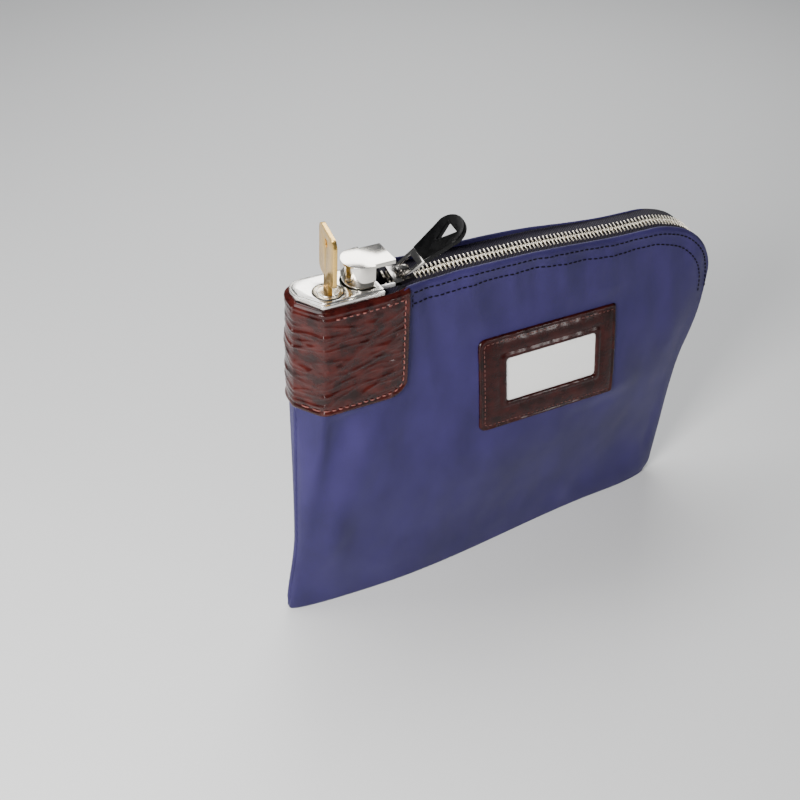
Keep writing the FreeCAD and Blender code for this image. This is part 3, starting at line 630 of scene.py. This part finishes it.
def yarn(name, color, light):
    f = Finish(name, color, 0.6, **{"Specular IOR Level": 0.12})
    twist = f.bands(f.scaled(turn=(0.4, 0.7, 0.3)), TWIST_PERIOD, "DIAGONAL")
    fuzz = f.noise(f.scaled(), 0.5, 2.0)
    f.color(f.ramp(f.math("MULTIPLY", twist, fuzz), [(0.1, color), (0.6, light)]))
    f.bump(twist, 0.05, 0.7)
    return f.material


def paper(name, color):
    f = Finish(name, color, 0.6)
    fibre = f.noise(f.scaled(0.6, 0.6, 2.0), 1.0, 5.0)
    f.color(f.ramp(fibre, [(0.3, tuple(0.96 * c for c in color)), (0.7, color)]))
    f.bump(fibre, 0.02, 0.3)
    return f.material


def clear_sheet(name):
    f = Finish(name, (0.95, 0.97, 1.0), 0.08, **{"Alpha": 0.10, "IOR": 1.45})
    ripple = f.noise(f.scaled(0.08, 0.08, 0.08), 1.0, 2.0)
    f.roughness(f.spread_range(ripple, 0.3, 0.7, 0.05, 0.14))
    f.bump(ripple, 0.3, 0.3)
    return f.material


NYLON = nylon("navy_nylon_weave", (0.031, 0.0226, 0.110), (0.0092, 0.0070, 0.042))
OXBLOOD = leather(
    "oxblood_leather", (0.030, 0.0036, 0.0028), (0.010, 0.0015, 0.0013), (0.054, 0.0074, 0.0054),
    crease_depth=0.5, coat=0.5)
TAG_HIDE = leather(
    "tag_leather", (0.020, 0.0024, 0.0020), (0.009, 0.0013, 0.0012), (0.034, 0.0044, 0.0034),
    crease_depth=0.3, coat=0.32)
CHROME = metal("lock_chrome", (0.84, 0.81, 0.75), 0.13)
PLATE_METAL = metal("satin_nickel", (0.88, 0.86, 0.82), 0.20)
DARK_CHROME = metal("slider_chrome", (0.40, 0.38, 0.36), 0.16)
CAST = metal("plated_casting", (0.60, 0.60, 0.60), 0.34, bump=0.02)
NICKEL = metal("tooth_nickel", (0.92, 0.85, 0.72), 0.30)
PLUG_METAL = metal("plug_nickel_brass", (0.80, 0.72, 0.56), 0.22)
KEY_METAL = metal("key_brass", (0.88, 0.57, 0.17), 0.27, (2.0, 2.0, 0.25))
STEEL = metal("wire_steel", (0.58, 0.58, 0.58), 0.26)
GRIP = moulded("black_moulded_grip", (0.0009, 0.0009, 0.0010), 0.26)
# dark metal for the bead round the plug: painted shadow of the groove between plug and plate
GROOVE_SHADE_PAINT = metal("groove_shadow_metal", (0.05, 0.05, 0.05), 0.4)
TAPE = twill("zipper_twill", (0.003, 0.0025, 0.007), (0.020, 0.014, 0.034))
# near-black navy thread: partly its own dark colour, partly painted shade of the stitch holes
NAVY_YARN_AND_SHADE = yarn("navy_thread_with_painted_shade", (0.0012, 0.0008, 0.0022), (0.006, 0.004, 0.011))
RED_YARN = yarn("oxblood_sewing_thread", (0.10, 0.030, 0.028), (0.34, 0.15, 0.13))
BROWN_YARN = yarn("brown_sewing_thread", (0.05, 0.020, 0.018), (0.20, 0.09, 0.08))
CARD = paper("blank_card", (0.88, 0.88, 0.86))
WINDOW = clear_sheet("clear_window_sheet")


# ---- cloth shells of the bag ----

PANEL_COLUMNS = 250
PANEL_ROWS = 165
PANEL_CROWD = 0.6  # how far the columns crowd towards the lock end
BOTTOM_THICK = (0.02, 1.2)
BOTTOM_SAG = 0.35


def panel_point(u, v, side):
    """Point of a panel's outer face; the last few rows roll over into the folded hem."""
    x, z = outline(u, v, side)
    return (x + corner_flare(x, z), skin_y(x, z, side, hem_swell(x, z, side)), z)


def make_panel(name, side, node):
    shares_u = [mix(t, t ** 2, PANEL_CROWD) for t in spread(0.0, 1.0, PANEL_COLUMNS)]
    shares_v = spread(0.0, 1.0, PANEL_ROWS)
    outer = [[panel_point(u, v, side) for v in shares_v] for u in shares_u]
    inner = [[(x, y - side * CLOTH, z) for x, y, z in row] for row in outer]
    piece = new_piece(name, *shell(outer, inner), NYLON, "navy_nylon")
    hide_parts(node)
    return piece


def bottom_row(x, z):
    """Points across the strip that closes the bottom; its upper face sags."""
    half = max(hollow(x, 0.0) + SEAM_GAP + 0.3, 0.9)
    sag = BOTTOM_SAG if z > BOTTOM_THICK[0] else 0.0
    middle = sway(x, 0.0)
    shares = spread(-1.0, 1.0, 9)
    return [(x + corner_flare(x, 0.0), middle + t * half, z + sag * (1.0 - t * t)) for t in shares]


def make_bottom():
    xs = spread(BAG_LEFT + 0.6, right_edge(0.0) - 0.3, 120)
    strip = strip_shell(xs, BOTTOM_THICK, bottom_row)
    piece = new_piece("bottom_strip_cloth", *strip, NYLON, "navy_nylon")
    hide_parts("bottom_strip")


def seam_roll(name, node, line, half_wide, half_thick):
    """A folded and sewn seam edge: a flattened roll that follows a line of points."""
    rings = []
    turns = round_steps(12)
    for i, (x, y, z) in enumerate(line):
        fade = 0.35 + 0.65 * min(1.0, i / 4.0, (len(line) - 1 - i) / 4.0)
        wide = half_wide * fade
        thick = half_thick * fade * (1.0 + 0.10 * math.sin(i * 1.9))
        rings.append([(x + wide * math.cos(t), y + thick * math.sin(t), z) for t in turns])
    piece = new_piece(name, *tube(rings), NYLON, "navy_nylon")
    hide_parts(node)


def make_seams():
    left = []
    for z in spread(1.4, PATCH_LOW - 0.5, 90):
        left.append((BAG_LEFT + corner_flare(BAG_LEFT, z) + 0.1, sway(BAG_LEFT, z), z))
    seam_roll("left_seam", "left_binding", left, 1.0, 1.7)
    right = []
    for z in spread(1.4, CORNER_Z - 1.0, 90):
        right.append((right_edge(z) + 0.1, sway(BAG_RIGHT, z), z))
    seam_roll("right_seam", "right_binding", right, 1.1, 1.7)


# ---- leather patch round the lock end ----

def patch_floor(x):
    """Lower edge of the patch, with a round corner at each free end."""
    into = x - (PATCH_RIGHT - PATCH_CORNER)
    if into <= 0.0:
        return PATCH_LOW
    return PATCH_LOW + PATCH_CORNER - math.sqrt(max(PATCH_CORNER ** 2 - into ** 2, 0.0))


def patch_base(x, z, side):
    """Place on the cloth that the patch lies on."""
    full = SEAM_GAP + CLOTH + hollow(x, z, side)
    return Vector((x, side * full + sway(x, z), z))


PATCH_ROWS = 130


def patch_columns():
    """Columns round the lock end as (x, side), crowded where the leather turns."""
    width = PATCH_RIGHT - BAG_LEFT
    back = [PATCH_RIGHT - width * (1.0 - (1.0 - t) ** 2.4) for t in spread(0.0, 1.0, 118)]
    slant_right, slant_left = BAG_LEFT + 13.0, BAG_LEFT + 6.0
    front = spread(PATCH_RIGHT, slant_right, 64)[:-1] + spread(slant_right, slant_left, 30)[:-1]
    front += spread(slant_left, BAG_LEFT, 34)
    return [(x, -1) for x in front] + [(x, 1) for x in back[::-1]][1:]


def fold_line(x, y, z, long, wide, slope, seed):
    """Ridged noise: thin raised creases about wide apart and long along the leather."""
    lean = z - slope * (x - BAG_LEFT)
    value = noise.noise(Vector((x / long, y / long + seed, lean / wide)))
    return max(1.0 - 3.4 * abs(value), 0.0) ** 1.5


def leather_wrinkle(x, y, z):
    """Creases that run mostly across the patch, with a slow swell between them."""
    big = fold_line(x, y, z, 34.0, 9.0, 0.30, 0.0)
    small = fold_line(x, y, z, 20.0, 4.5, 0.12, 7.0)
    fine = noise.noise(Vector((x / 7.0, y / 9.0, z / 1.9)))
    swell = noise.noise(Vector((x / 22.0, y / 22.0, z / 15.0)))
    return 0.52 * big + 0.36 * small + 0.12 * fine + 0.42 * swell - 0.25


def patch_heights(point, edge):
    """How far the leather's inner and outer faces stand off the cloth."""
    down = PATCH_TOP - point.z
    rim = math.sqrt(min(max(edge, 0.0) / 1.4, 1.0))
    groove = 0.28 * bell(edge, PATCH_HEM - 2.2, 1.3) - 0.35 * bell(edge, PATCH_HEM, 0.9)
    wrinkle = leather_wrinkle(*point) * smooth(1.0, 6.0, edge)
    thick = PATCH_THICK * (0.35 + 0.65 * rim) + groove + wrinkle
    roll = (1.0 - smooth(0.0, 2.2, down)) ** 1.6
    outer = mix(PATCH_GAP + max(thick, 0.4), PATCH_TUCK, roll)
    return mix(PATCH_GAP, PATCH_TUCK - 0.1, smooth(0.6, 1.0, roll)), outer


def make_patch():
    columns = patch_columns()
    base = []
    for x, side in columns:
        zs = spread(patch_floor(x), PATCH_TOP, PATCH_ROWS)
        base.append([patch_base(x, z, side) for z in zs])
    outer = []
    inner = []
    for (x, _), points, normals in zip(columns, base, grid_normals(base)):
        outer.append([])
        inner.append([])
        for point, normal in zip(points, normals):
            outward = Vector((point.x - PATCH_MIDDLE, 6.0 * point.y, 0.0))
            if normal.dot(outward) < 0.0:
                normal = -normal
            edge = min(PATCH_RIGHT - x, point.z - patch_floor(x), PATCH_TOP - point.z + 0.4)
            low, high = patch_heights(point, edge)
            outer[-1].append(point + normal * high)
            inner[-1].append(point + normal * low)
    piece = new_piece("lock_patch_leather", *shell(outer, inner), OXBLOOD, "oxblood_leather")
    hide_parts("lock_patch")


def patch_place(side):
    """Point and normal on the leather's outer face, for its stitches."""
    def place(x, z):
        point = patch_base(x, z, side)
        a = patch_base(x - 0.5, z, side)
        b = patch_base(x + 0.5, z, side)
        normal = Vector((a.y - b.y, b.x - a.x, 0.0)).normalized() * side
        thick = PATCH_THICK - 0.1 + 0.7 * leather_wrinkle(*point)
        return point + normal * (PATCH_GAP + thick), normal
    return place


def make_patch_stitches():
    right = PATCH_RIGHT - PATCH_HEM
    low = PATCH_LOW + PATCH_HEM
    top = LOCK_TOP - 5.0
    r = PATCH_CORNER - PATCH_HEM
    left = BAG_LEFT + 2.2
    path = [(left, low), (right - r, low)] + corner_arc(right - r, low + r, r, -80.0, 0.0)
    path += [(right, top), (left + 12.0, top)]
    parts = []
    for side in (-1, 1):
        parts += stitched(path, patch_place(side), *PATCH_THREAD)
    piece = new_piece("patch_stitches", *join_lists(parts), RED_YARN, "patch_thread")
    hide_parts("patch_stitching")


# ---- hem stitching ----

def hem_swell(x, z, side):
    """How far the folded hem's roll stands out, and curls in at its very edge."""
    drop = hem_below(x, z, side)
    swell = 0.75 * bell(drop, 2.6, 2.2) - 0.9 * (1.0 - smooth(0.0, 1.6, drop))
    return swell * smooth(PATCH_RIGHT - 3.0, PATCH_RIGHT + 1.0, x)


def thread_place(side, out):
    """Point and normal on a panel, for stitches; out gives their height at (x, z)."""
    def place(x, z):
        return Vector((x, skin_y(x, z, side, out(x, z)), z)), Vector((0.0, side, THREAD_LEAN))
    return place


def make_hem_stitches(name, node, side):
    on_hem = thread_place(side, lambda x, z: 0.1 + hem_swell(x, z, side))
    parts = []
    for drop in HEM_STITCH_DROPS:
        path = []
        for u in spread(0.205, 0.985, 70):
            x, z = top_edge(u, side)
            turn = smooth(STRAIGHT_SHARE - 0.03, 0.97, u) * math.pi / 2.0
            path.append((x - drop * math.sin(turn), z - drop * math.cos(turn)))
        path = [p for p in path if p[0] > PATCH_RIGHT + 0.6]
        parts += stitched(path, on_hem, *HEM_THREAD)
    join = [(JOIN_X, JOIN_TOP), (JOIN_X, JOIN_LOW)]
    parts += stitched(join, thread_place(side, lambda x, z: 0.03), *JOIN_THREAD)
    piece = new_piece(name, *join_lists(parts), NAVY_YARN_AND_SHADE, "navy_thread")
    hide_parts(node)


# ---- zipper ----

def turned(a, b, angle):
    return a * math.cos(angle) - b * math.sin(angle), a * math.sin(angle) + b * math.cos(angle)


def on_chain(x, local):
    """Place of a point given along the chain at x, in the chain's rolled cross-section."""
    y, out = turned(local[1], local[2], CHAIN_ROLL)
    px, pz = turned(local[0], out, -CHAIN_SLOPE)
    return Vector((x + px, CHAIN_Y + y, chain_z(x) + pz))


def corner_roll(angle):
    return CHAIN_ROLL * (1.0 - smooth(0.0, 90.0, angle))


def corner_y(angle):
    return CHAIN_Y * (1.0 - smooth(0.0, 60.0, angle))


def on_corner(angle, local):
    """Place of a point in the chain's cross-section round the corner; angle in degrees."""
    a = math.radians(angle)
    y, out = turned(local[1], local[2], corner_roll(angle))
    px, pz = turned(local[0], out, -a)
    cx = CORNER_X + CORNER_A * math.sin(a)
    cz = CORNER_Z + CORNER_B * math.cos(a)
    return Vector((cx + px, corner_y(angle) + y, cz + pz + chain_bow(cx)))


def tooth_shape(side):
    """A stamped tooth: a rounded bar that grips the tape, and a head that meets the other row."""
    bm = bmesh.new()
    for y0, y1, half_x, half_z in TOOTH_BARS:
        made = bmesh.ops.create_cube(bm, size=1.0)
        for v in made["verts"]:
            v.co = Vector((v.co.x * 2.0 * half_x, mix(y0, y1, v.co.y + 0.5), v.co.z * 2.0 * half_z))
    edges = list(bm.edges)
    bmesh.ops.bevel(bm, geom=edges, offset=TOOTH_ROUND, segments=2, affect="EDGES", profile=0.5)
    bm.verts.index_update()
    verts = [Vector((v.co.x, v.co.y * side, v.co.z)) for v in bm.verts]
    faces = [tuple(v.index for v in f.verts) for f in bm.faces]
    bm.free()
    return verts, faces


def row_opening(x):
    """How far each row stands off the middle inside the slider, where the two rows part."""
    return max(ROW_START - x, 0.0) * ROW_OPENING


def make_teeth(name, node, side):
    shape, faces = tooth_shape(side)
    first = CHAIN_START + 0.8 + (0.0 if side < 0 else TOOTH_PITCH / 2.0)
    parts = []
    for i in range(-4, int((CHAIN_END + 4.0 - CHAIN_START) / TOOTH_PITCH)):
        x = first + i * TOOTH_PITCH
        aside = side * row_opening(x)
        parts.append(([on_chain(x, (v.x, v.y + aside, v.z)) for v in shape], faces))
    piece = new_piece(name, *join_lists(parts), NICKEL, "nickel_teeth", body=None)
    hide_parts(node)
    start = on_chain(CHAIN_START - 10.0, (0.0, 0.0, 0.0)) * MM
    end = on_chain(CHAIN_START + 20.0, (0.0, 0.0, 0.0)) * MM
    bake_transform(piece)


def make_corner_teeth(name, node, side):
    shape, faces = tooth_shape(side)
    sweep = CORNER_STOP - CORNER_START
    steps = int(math.radians(sweep) * (CORNER_A + CORNER_B) / 2.0 / TOOTH_PITCH)
    parts = []
    for i in range(steps):
        angle = CORNER_START + sweep * (i + (0.0 if side < 0 else 0.5)) / steps
        parts.append(([on_corner(angle, v) for v in shape], faces))
    piece = new_piece(name, *join_lists(parts), NICKEL, "nickel_teeth")
    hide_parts(node)


def tape_section(near, far, side, x, lift, count):
    """Points across a tape. It dips between teeth and hem, and ripples where it is sewn."""
    points = []
    for share in spread(0.0, 1.0, count):
        tucked = 1.3 * share * share if side > 0 else 0.0
        ripple = 0.18 * noise.noise(Vector((x / 6.0, share, 2.0)))
        height = lift + ripple - 0.5 * math.sin(math.pi * share) - tucked
        points.append((0.0, side * mix(near, far, share), height))
    return points


def tape_outer(x, z, side, roll, shift):
    """Local distance of the tape's outer edge, just inside the hem."""
    wide = hollow(x, z - 3.0) + SEAM_GAP
    return (wide - side * shift) / math.cos(roll) - 0.1


def make_tape(name, node, side):
    def row_at(x, lift):
        near = TAPE_INNER + row_opening(x)
        far = max(tape_outer(x, chain_z(x), side, CHAIN_ROLL, CHAIN_Y), near + 0.6)
        section = tape_section(near, far, side, x, lift, 12)
        return [on_chain(x, local) for local in section]

    strip = strip_shell(spread(CHAIN_START - 9.0, CHAIN_END + 4.0, 190), TAPE_LIFTS, row_at)
    piece = new_piece(name, *strip, TAPE, "zipper_tape", body=None)
    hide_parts(node)
    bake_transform(piece)


def make_corner_tape(name, node, side):
    def row_at(angle, lift):
        turn = math.radians(max(angle, 0.0))
        x = CORNER_X + CORNER_A * math.sin(turn)
        z = CORNER_Z + CORNER_B * math.cos(turn)
        far = max(tape_outer(x, z, side, corner_roll(angle), corner_y(angle)), TOOTH_ROOT)
        section = tape_section(TAPE_INNER, far, side, x, lift, 10)
        return [on_corner(angle, local) for local in section]

    strip = strip_shell(spread(CORNER_START - 1.0, CORNER_STOP + 8.0, 90), TAPE_LIFTS, row_at)
    piece = new_piece(name, *strip, TAPE, "zipper_tape")
    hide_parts(node)


def make_tape_tuck(name, side):
    """End of the tape, folded down beside the slider dock and sewn under the hem."""
    def row_at(x, lift):
        free = smooth(DOCK_HIGH.x - 0.5, CHAIN_START + 2.0, x)
        near = mix(DOCK_HIGH.y + 0.25, 5.4, free)
        near_z = mix(LOCK_TOP + 0.4, chain_z(x) - 0.9 + side * 1.4, free)
        far = hollow(x, LOCK_TOP - 3.0) + SEAM_GAP - 0.1
        far_z = mix(LOCK_TOP - 1.0, chain_z(x) - 1.6, free)
        row = []
        for share in spread(0.0, 1.0, 10):
            dip = -0.9 * math.sin(math.pi * share)
            row.append((x, side * mix(near, far, share), mix(near_z, far_z, share) + dip + lift))
        return row

    strip = strip_shell(spread(PLATE_HIGH.x + 0.3, CHAIN_START + 6.0, 40), TUCK_LIFTS, row_at)
    new_piece(name, *strip, TAPE, "zipper_tape")


# ---- name tag holder ----

def rounded_loop(centre, size, radii, count):
    """Even points round a rectangle with its own radius at each corner, from the lower right."""
    w = size[0] / 2.0
    h = size[1] / 2.0
    corners = [(w, -h, -90.0), (w, h, 0.0), (-w, h, 90.0), (-w, -h, 180.0)]
    line = []
    for (cx, cz, start), r in zip(corners, radii):
        mx = cx - math.copysign(r, cx)
        mz = cz - math.copysign(r, cz)
        line += corner_arc(mx, mz, r, start, start + 90.0, 12)
    at, length = along(line + line[:1])
    points = [at(length * i / count) for i in range(count)]
    return [(centre[0] + x, centre[1] + z) for x, z in points]


TAG_SKEW = 0.035
TAG_POINTS = 260
HOLE_POINTS = 720
TAG_RADII = (1.2, 1.2, 4.5, 4.5)
HOLE_RADII = (2.2, 2.2, 2.2, 2.2)
TAG_UNDER = 0.12
TAG_LEAST = 0.35
TAG_STITCH_LIFT = 1.22
CARD_SIZE = (64.0, 30.5)
CARD_LIFTS = (0.5, 0.25)
SHEET_SIZE = (63.0, 30.0)
SHEET_LIFTS = (0.92, 0.78)
# height of the leather at shares of the way from the holder's edge to its window
TAG_PROFILE = (
    (0.0, 0.35), (0.015, 1.0), (0.04, 1.45), (0.08, 1.5), (0.11, 1.15), (0.15, 1.05), (0.19, 1.25),
    (0.27, 1.5), (0.4, 1.75), (0.55, 1.75), (0.66, 1.55), (0.72, 1.2), (0.76, 1.15), (0.82, 1.75),
    (0.9, 1.9), (0.96, 1.6), (1.0, 0.95),
)


def on_tag(x, z, out):
    """Place on the tag holder, which was sewn on slightly askew."""
    skewed = x + TAG_SKEW * (TAG_BOX_HIGH.z - z)
    return (skewed, skin_y(skewed, z, -1, out), z)


def tag_place(x, z):
    return Vector(on_tag(x, z, TAG_STITCH_LIFT)), Vector((0.0, -1.0, THREAD_LEAN))


def tag_pocket(x, z, share):
    """Height of the leather's underside: it leaves room for the card, and for its way out."""
    at_slot = smooth(TAG_BOX_HIGH.x - 9.0, TAG_BOX_HIGH.x - 6.0, x)
    at_slot *= smooth(19.5, 17.0, abs(z - WINDOW_CENTRE[1]))
    return mix(TAG_UNDER, CARD_LIFTS[0] + TAG_UNDER, max(smooth(0.3, 0.4, share), at_slot))


def make_tag():
    outer_loop = rounded_loop(TAG_CENTRE, TAG_SIZE, TAG_RADII, TAG_POINTS)
    hole = rounded_loop(WINDOW_CENTRE, WINDOW_SIZE, HOLE_RADII, HOLE_POINTS)
    top = []
    under = []
    for x0, z0 in outer_loop:
        scaled_x = (x0 - TAG_CENTRE[0]) / TAG_SIZE[0] * WINDOW_SIZE[0] + WINDOW_CENTRE[0]
        scaled_z = (z0 - TAG_CENTRE[1]) / TAG_SIZE[1] * WINDOW_SIZE[1] + WINDOW_CENTRE[1]
        x1, z1 = min(hole, key=lambda p: math.hypot(p[0] - scaled_x, p[1] - scaled_z))
        top.append([])
        under.append([])
        for share, height in TAG_PROFILE:
            x = mix(x0, x1, share)
            z = mix(z0, z1, share)
            grain = 0.10 * noise.noise(Vector((x / 5.0, z / 5.0, 4.0)))
            pocket = tag_pocket(x, z, share)
            top[-1].append(on_tag(x, z, max(height, pocket + TAG_LEAST) + grain))
            under[-1].append(on_tag(x, z, pocket))
    holder = shell(top, under, ring=True)
    piece = new_piece("tag_holder_leather", *holder, TAG_HIDE, "oxblood_leather")
    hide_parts("tag_frame")


def flat_patch(name, node, size, lifts, material, slot, body):
    """Thin sheet in the tag's window that follows the bag's face."""
    xs = spread(WINDOW_CENTRE[0] - size[0] / 2.0, WINDOW_CENTRE[0] + size[0] / 2.0, 40)
    zs = spread(WINDOW_CENTRE[1] - size[1] / 2.0, WINDOW_CENTRE[1] + size[1] / 2.0, 20)
    strip = strip_shell(xs, lifts, lambda x, lift: [on_tag(x, z, lift) for z in zs])
    piece = new_piece(name, *strip, material, slot, body)
    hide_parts(node)


def make_tag_stitches():
    inset = 3.4
    r = 2.0
    x0 = TAG_CENTRE[0] - TAG_SIZE[0] / 2.0 + inset
    x1 = TAG_CENTRE[0] + TAG_SIZE[0] / 2.0 - 1.5
    z0 = TAG_CENTRE[1] - TAG_SIZE[1] / 2.0 + inset
    z1 = TAG_CENTRE[1] + TAG_SIZE[1] / 2.0 - inset
    path = [(x1, z1), (x0 + r, z1)] + corner_arc(x0 + r, z1 - r, r, 90.0, 180.0, 5)
    path += corner_arc(x0 + r, z0 + r, r, 180.0, 270.0, 5) + [(x1, z0)]
    parts = stitched(path, tag_place, *TAG_THREAD)
    piece = new_piece("tag_stitches", *join_lists(parts), BROWN_YARN, "patch_thread")
    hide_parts("tag_stitching")


# ---- metal pieces, softened from the frame's own shapes ----

FLAT_ANGLE = math.radians(3.0)
SHARP_ANGLE = math.radians(32.0)
BEVEL_ANGLE = math.radians(28.0)
WIRE_ANGLE = math.radians(60.0)


def softened(node, material, slot, width, segments, angle=BEVEL_ANGLE):
    """A copy of a CAD node with its sharp edges rounded, riding on the same body."""
    mesh = frame["nodes"][node].data.copy()
    bm = bmesh.new()
    bm.from_mesh(mesh)
    bmesh.ops.remove_doubles(bm, verts=bm.verts, dist=2e-6)
    bmesh.ops.dissolve_limit(bm, angle_limit=FLAT_ANGLE, verts=bm.verts, edges=bm.edges)
    bm.to_mesh(mesh)
    bm.free()
    mesh.materials.clear()
    mesh.materials.append(material)
    piece = add_object(node + "_finish", mesh)
    bevel = piece.modifiers.new("edges", "BEVEL")
    bevel.width = width * MM
    bevel.segments = segments
    bevel.limit_method = "ANGLE"
    bevel.angle_limit = angle
    bevel.use_clamp_overlap = True
    bpy.context.view_layer.update()
    shaped = piece.evaluated_get(bpy.context.evaluated_depsgraph_get())
    finished = bpy.data.meshes.new_from_object(shaped)
    piece.modifiers.clear()
    piece.data = finished
    finished.polygons.foreach_set("use_smooth", [True] * len(finished.polygons))
    finished.set_sharp_from_angle(angle=SHARP_ANGLE)
    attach(piece, BODY_OF[node])
    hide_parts(node)
    return piece


BODY_OF = {
    node: body for body, nodes in frame["record"]["behaviour"]["bodies"].items() for node in nodes
}

# node, material, slot, width of the rounded edge and its segments
SOFTENED = (
    ("face_plate", PLATE_METAL, "lock_chrome", 0.45, 3),
    ("popup_head", CHROME, "lock_chrome", 0.5, 3),
    ("slider_dock", CAST, "lock_chrome", 0.3, 2),
    ("lock_plug", PLUG_METAL, "plug_brass", 0.2, 2),
    ("key", KEY_METAL, "key_brass", 0.3, 2),
    ("zipper_slider", DARK_CHROME, "dark_chrome", 0.35, 3),
    ("pull_link", DARK_CHROME, "dark_chrome", 0.4, 3),
    ("pull_grip", GRIP, "black_grip", 1.1, 4),
)
REPAINTED = {
    "lock_housing": CAST, "bottom_cover": CAST, "lock_cam": CAST, "pin_cover": PLUG_METAL,
    "key_pins": KEY_METAL, "driver_pins": KEY_METAL, "pin_springs": STEEL,
    "cross_pin": STEEL, "cam_screw": STEEL, "cover_screws": STEEL,
}


def make_ring(name, radius, wire, z, material, slot, body):
    """Thin round bead lying level about the lock plug's axis."""
    low, high = box_mm("lock_plug")
    rings = []
    for a in round_steps(72):
        ring = []
        for b in round_steps(10):
            r = radius + wire * math.cos(b)
            x = (low.x + high.x) / 2.0 + r * math.cos(a)
            y = (low.y + high.y) / 2.0 + r * math.sin(a)
            ring.append((x, y, z + wire * math.sin(b)))
        rings.append(ring)
    new_piece(name, *tube(rings, closed=True), material, slot, body)


GROOVE_SHADE_RING = (8.05, 0.28)  # radius of a dark bead, painted shadow of the groove round the plug, and of its wire
COLLAR_RING = (5.6, 0.35)


def make_head_spring():
    """The spring under the head, softened from the frame's shape, with a mesh of its own."""
    piece = softened("head_spring", STEEL, "spring_steel", 0.02, 1, WIRE_ANGLE)
    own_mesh(piece)


def make_metal():
    make_head_spring()
    plug_top = box_mm("lock_plug")[1].z
    # the dark bead at the plate's face paints the shadow of the groove round the plug
    make_ring("plug_groove_painted_shade", *GROOVE_SHADE_RING, PLATE_HIGH.z, GROOVE_SHADE_PAINT, "housing_metal", "bag")
    make_ring("keyway_collar", *COLLAR_RING, plug_top, CHROME, "lock_chrome", "plug")
    for row in SOFTENED:
        softened(*row)
    for node, material in REPAINTED.items():
        for place in frame["nodes"][node].material_slots:
            place.material = material


# ---- floor, light and camera ----

def floor_paint():
    f = Finish("pale_floor", (0.72, 0.73, 0.74), 0.6)
    f.bump(f.noise(f.scaled(0.05, 0.05, 0.05), 1.0, 2.0), 0.02, 0.1)
    return f.material


FLOOR_HALF = 3.0
FLOOR_DROP = 0.0003


def make_floor():
    h = FLOOR_HALF
    mesh = bpy.data.meshes.new("floor")
    corners = [(-h, -h, 0.0), (h, -h, 0.0), (h, h, 0.0), (-h, h, 0.0)]
    mesh.from_pydata(corners, [], [(0, 1, 2, 3)])
    mesh.materials.append(floor_paint())
    floor = add_object("floor", mesh)
    floor.location.z = -FLOOR_DROP


LIT_POINT = (-0.01, 0.0, 0.11)
# name, place, width and height, watts, colour
LIGHTS = (
    ("key_light", (-0.66, -0.40, 0.56), (0.26, 0.26), 12.0, (1.0, 0.98, 0.95)),
    ("top_light", (-0.15, 0.35, 1.05), (0.7, 0.35), 6.0, (1.0, 1.0, 1.0)),
    ("back_light", (0.48, 0.83, 0.85), (0.7, 0.4), 6.0, (1.0, 0.99, 0.97)),
    ("low_front_light", (0.62, -1.05, 0.30), (0.05, 0.55), 2.2, (1.0, 0.98, 0.96)),
    ("low_left_light", (-0.72, -0.95, 0.26), (0.05, 0.55), 2.8, (1.0, 0.98, 0.96)),
    ("left_light", (-0.9, 0.35, 0.35), (0.25, 0.7), 3.0, (1.0, 0.97, 0.94)),
)
WORLD_COLOR = (0.82, 0.86, 0.92, 1.0)
WORLD_STRENGTH = 0.14


def add_light(name, place, size, power, color):
    light = bpy.data.lights.new(name, "AREA")
    light.shape = "RECTANGLE"
    light.size = size[0]
    light.size_y = size[1]
    light.energy = power
    light.color = color
    lamp = add_object(name, light)
    lamp.location = place
    direction = Vector(LIT_POINT) - Vector(place)
    lamp.rotation_euler = direction.to_track_quat("-Z", "Y").to_euler()


def make_lights():
    for row in LIGHTS:
        add_light(*row)
    world = bpy.data.worlds.new("soft_studio")
    world.use_nodes = True
    background = world.node_tree.nodes["Background"]
    socket_values(background, {"Color": WORLD_COLOR, "Strength": WORLD_STRENGTH})
    bpy.context.scene.world = world


CAMERA_AZIMUTH = -30.22
CAMERA_ELEVATION = 37.14
CAMERA_ROLL = 2.77
CAMERA_DISTANCE = 0.73926
CAMERA_TARGET = (-0.07298, 0.0, 0.13135)
CAMERA_LENS = 59.55


def make_camera():
    a = math.radians(CAMERA_AZIMUTH)
    e = math.radians(CAMERA_ELEVATION)
    r = math.radians(CAMERA_ROLL)
    back = Vector((math.sin(a) * math.cos(e), -math.cos(a) * math.cos(e), math.sin(e)))
    level = Vector((math.cos(a), math.sin(a), 0.0))
    rise = back.cross(level)
    right = level * math.cos(r) + rise * math.sin(r)
    up = rise * math.cos(r) - level * math.sin(r)
    data = bpy.data.cameras.new("camera")
    data.sensor_width = 36.0
    data.lens = CAMERA_LENS
    camera = add_object("camera", data)
    turn = Matrix((right, up, back)).transposed().to_4x4()
    turn.translation = Vector(CAMERA_TARGET) + back * CAMERA_DISTANCE
    camera.matrix_world = turn
    bpy.context.scene.camera = camera


def main():
    make_camera()
    make_floor()
    make_lights()
    for face, side in FACES:
        panel = make_panel(face + "_panel_cloth", side, face + "_panel")
    make_bottom()
    make_seams()
    make_patch()
    make_patch_stitches()
    for face, side in FACES:
        make_hem_stitches(face + "_hem_stitches", face + "_hem_stitching", side)
        make_teeth(face + "_row_teeth", face + "_teeth", side)
        make_corner_teeth(face + "_corner_row", face + "_corner_teeth", side)
        make_tape(face + "_zipper_tape", face + "_tape", side)
        make_corner_tape(face + "_corner_zipper_tape", face + "_corner_tape", side)
        make_tape_tuck(face + "_tape_end", side)
    make_tag()
    flat_patch("name_card", "id_card", CARD_SIZE, CARD_LIFTS, CARD, "card_white", "card")
    flat_patch(
        "tag_window_sheet", "tag_window", SHEET_SIZE, SHEET_LIFTS, WINDOW, "clear_window", "bag")
    make_tag_stitches()
    make_metal()


main()
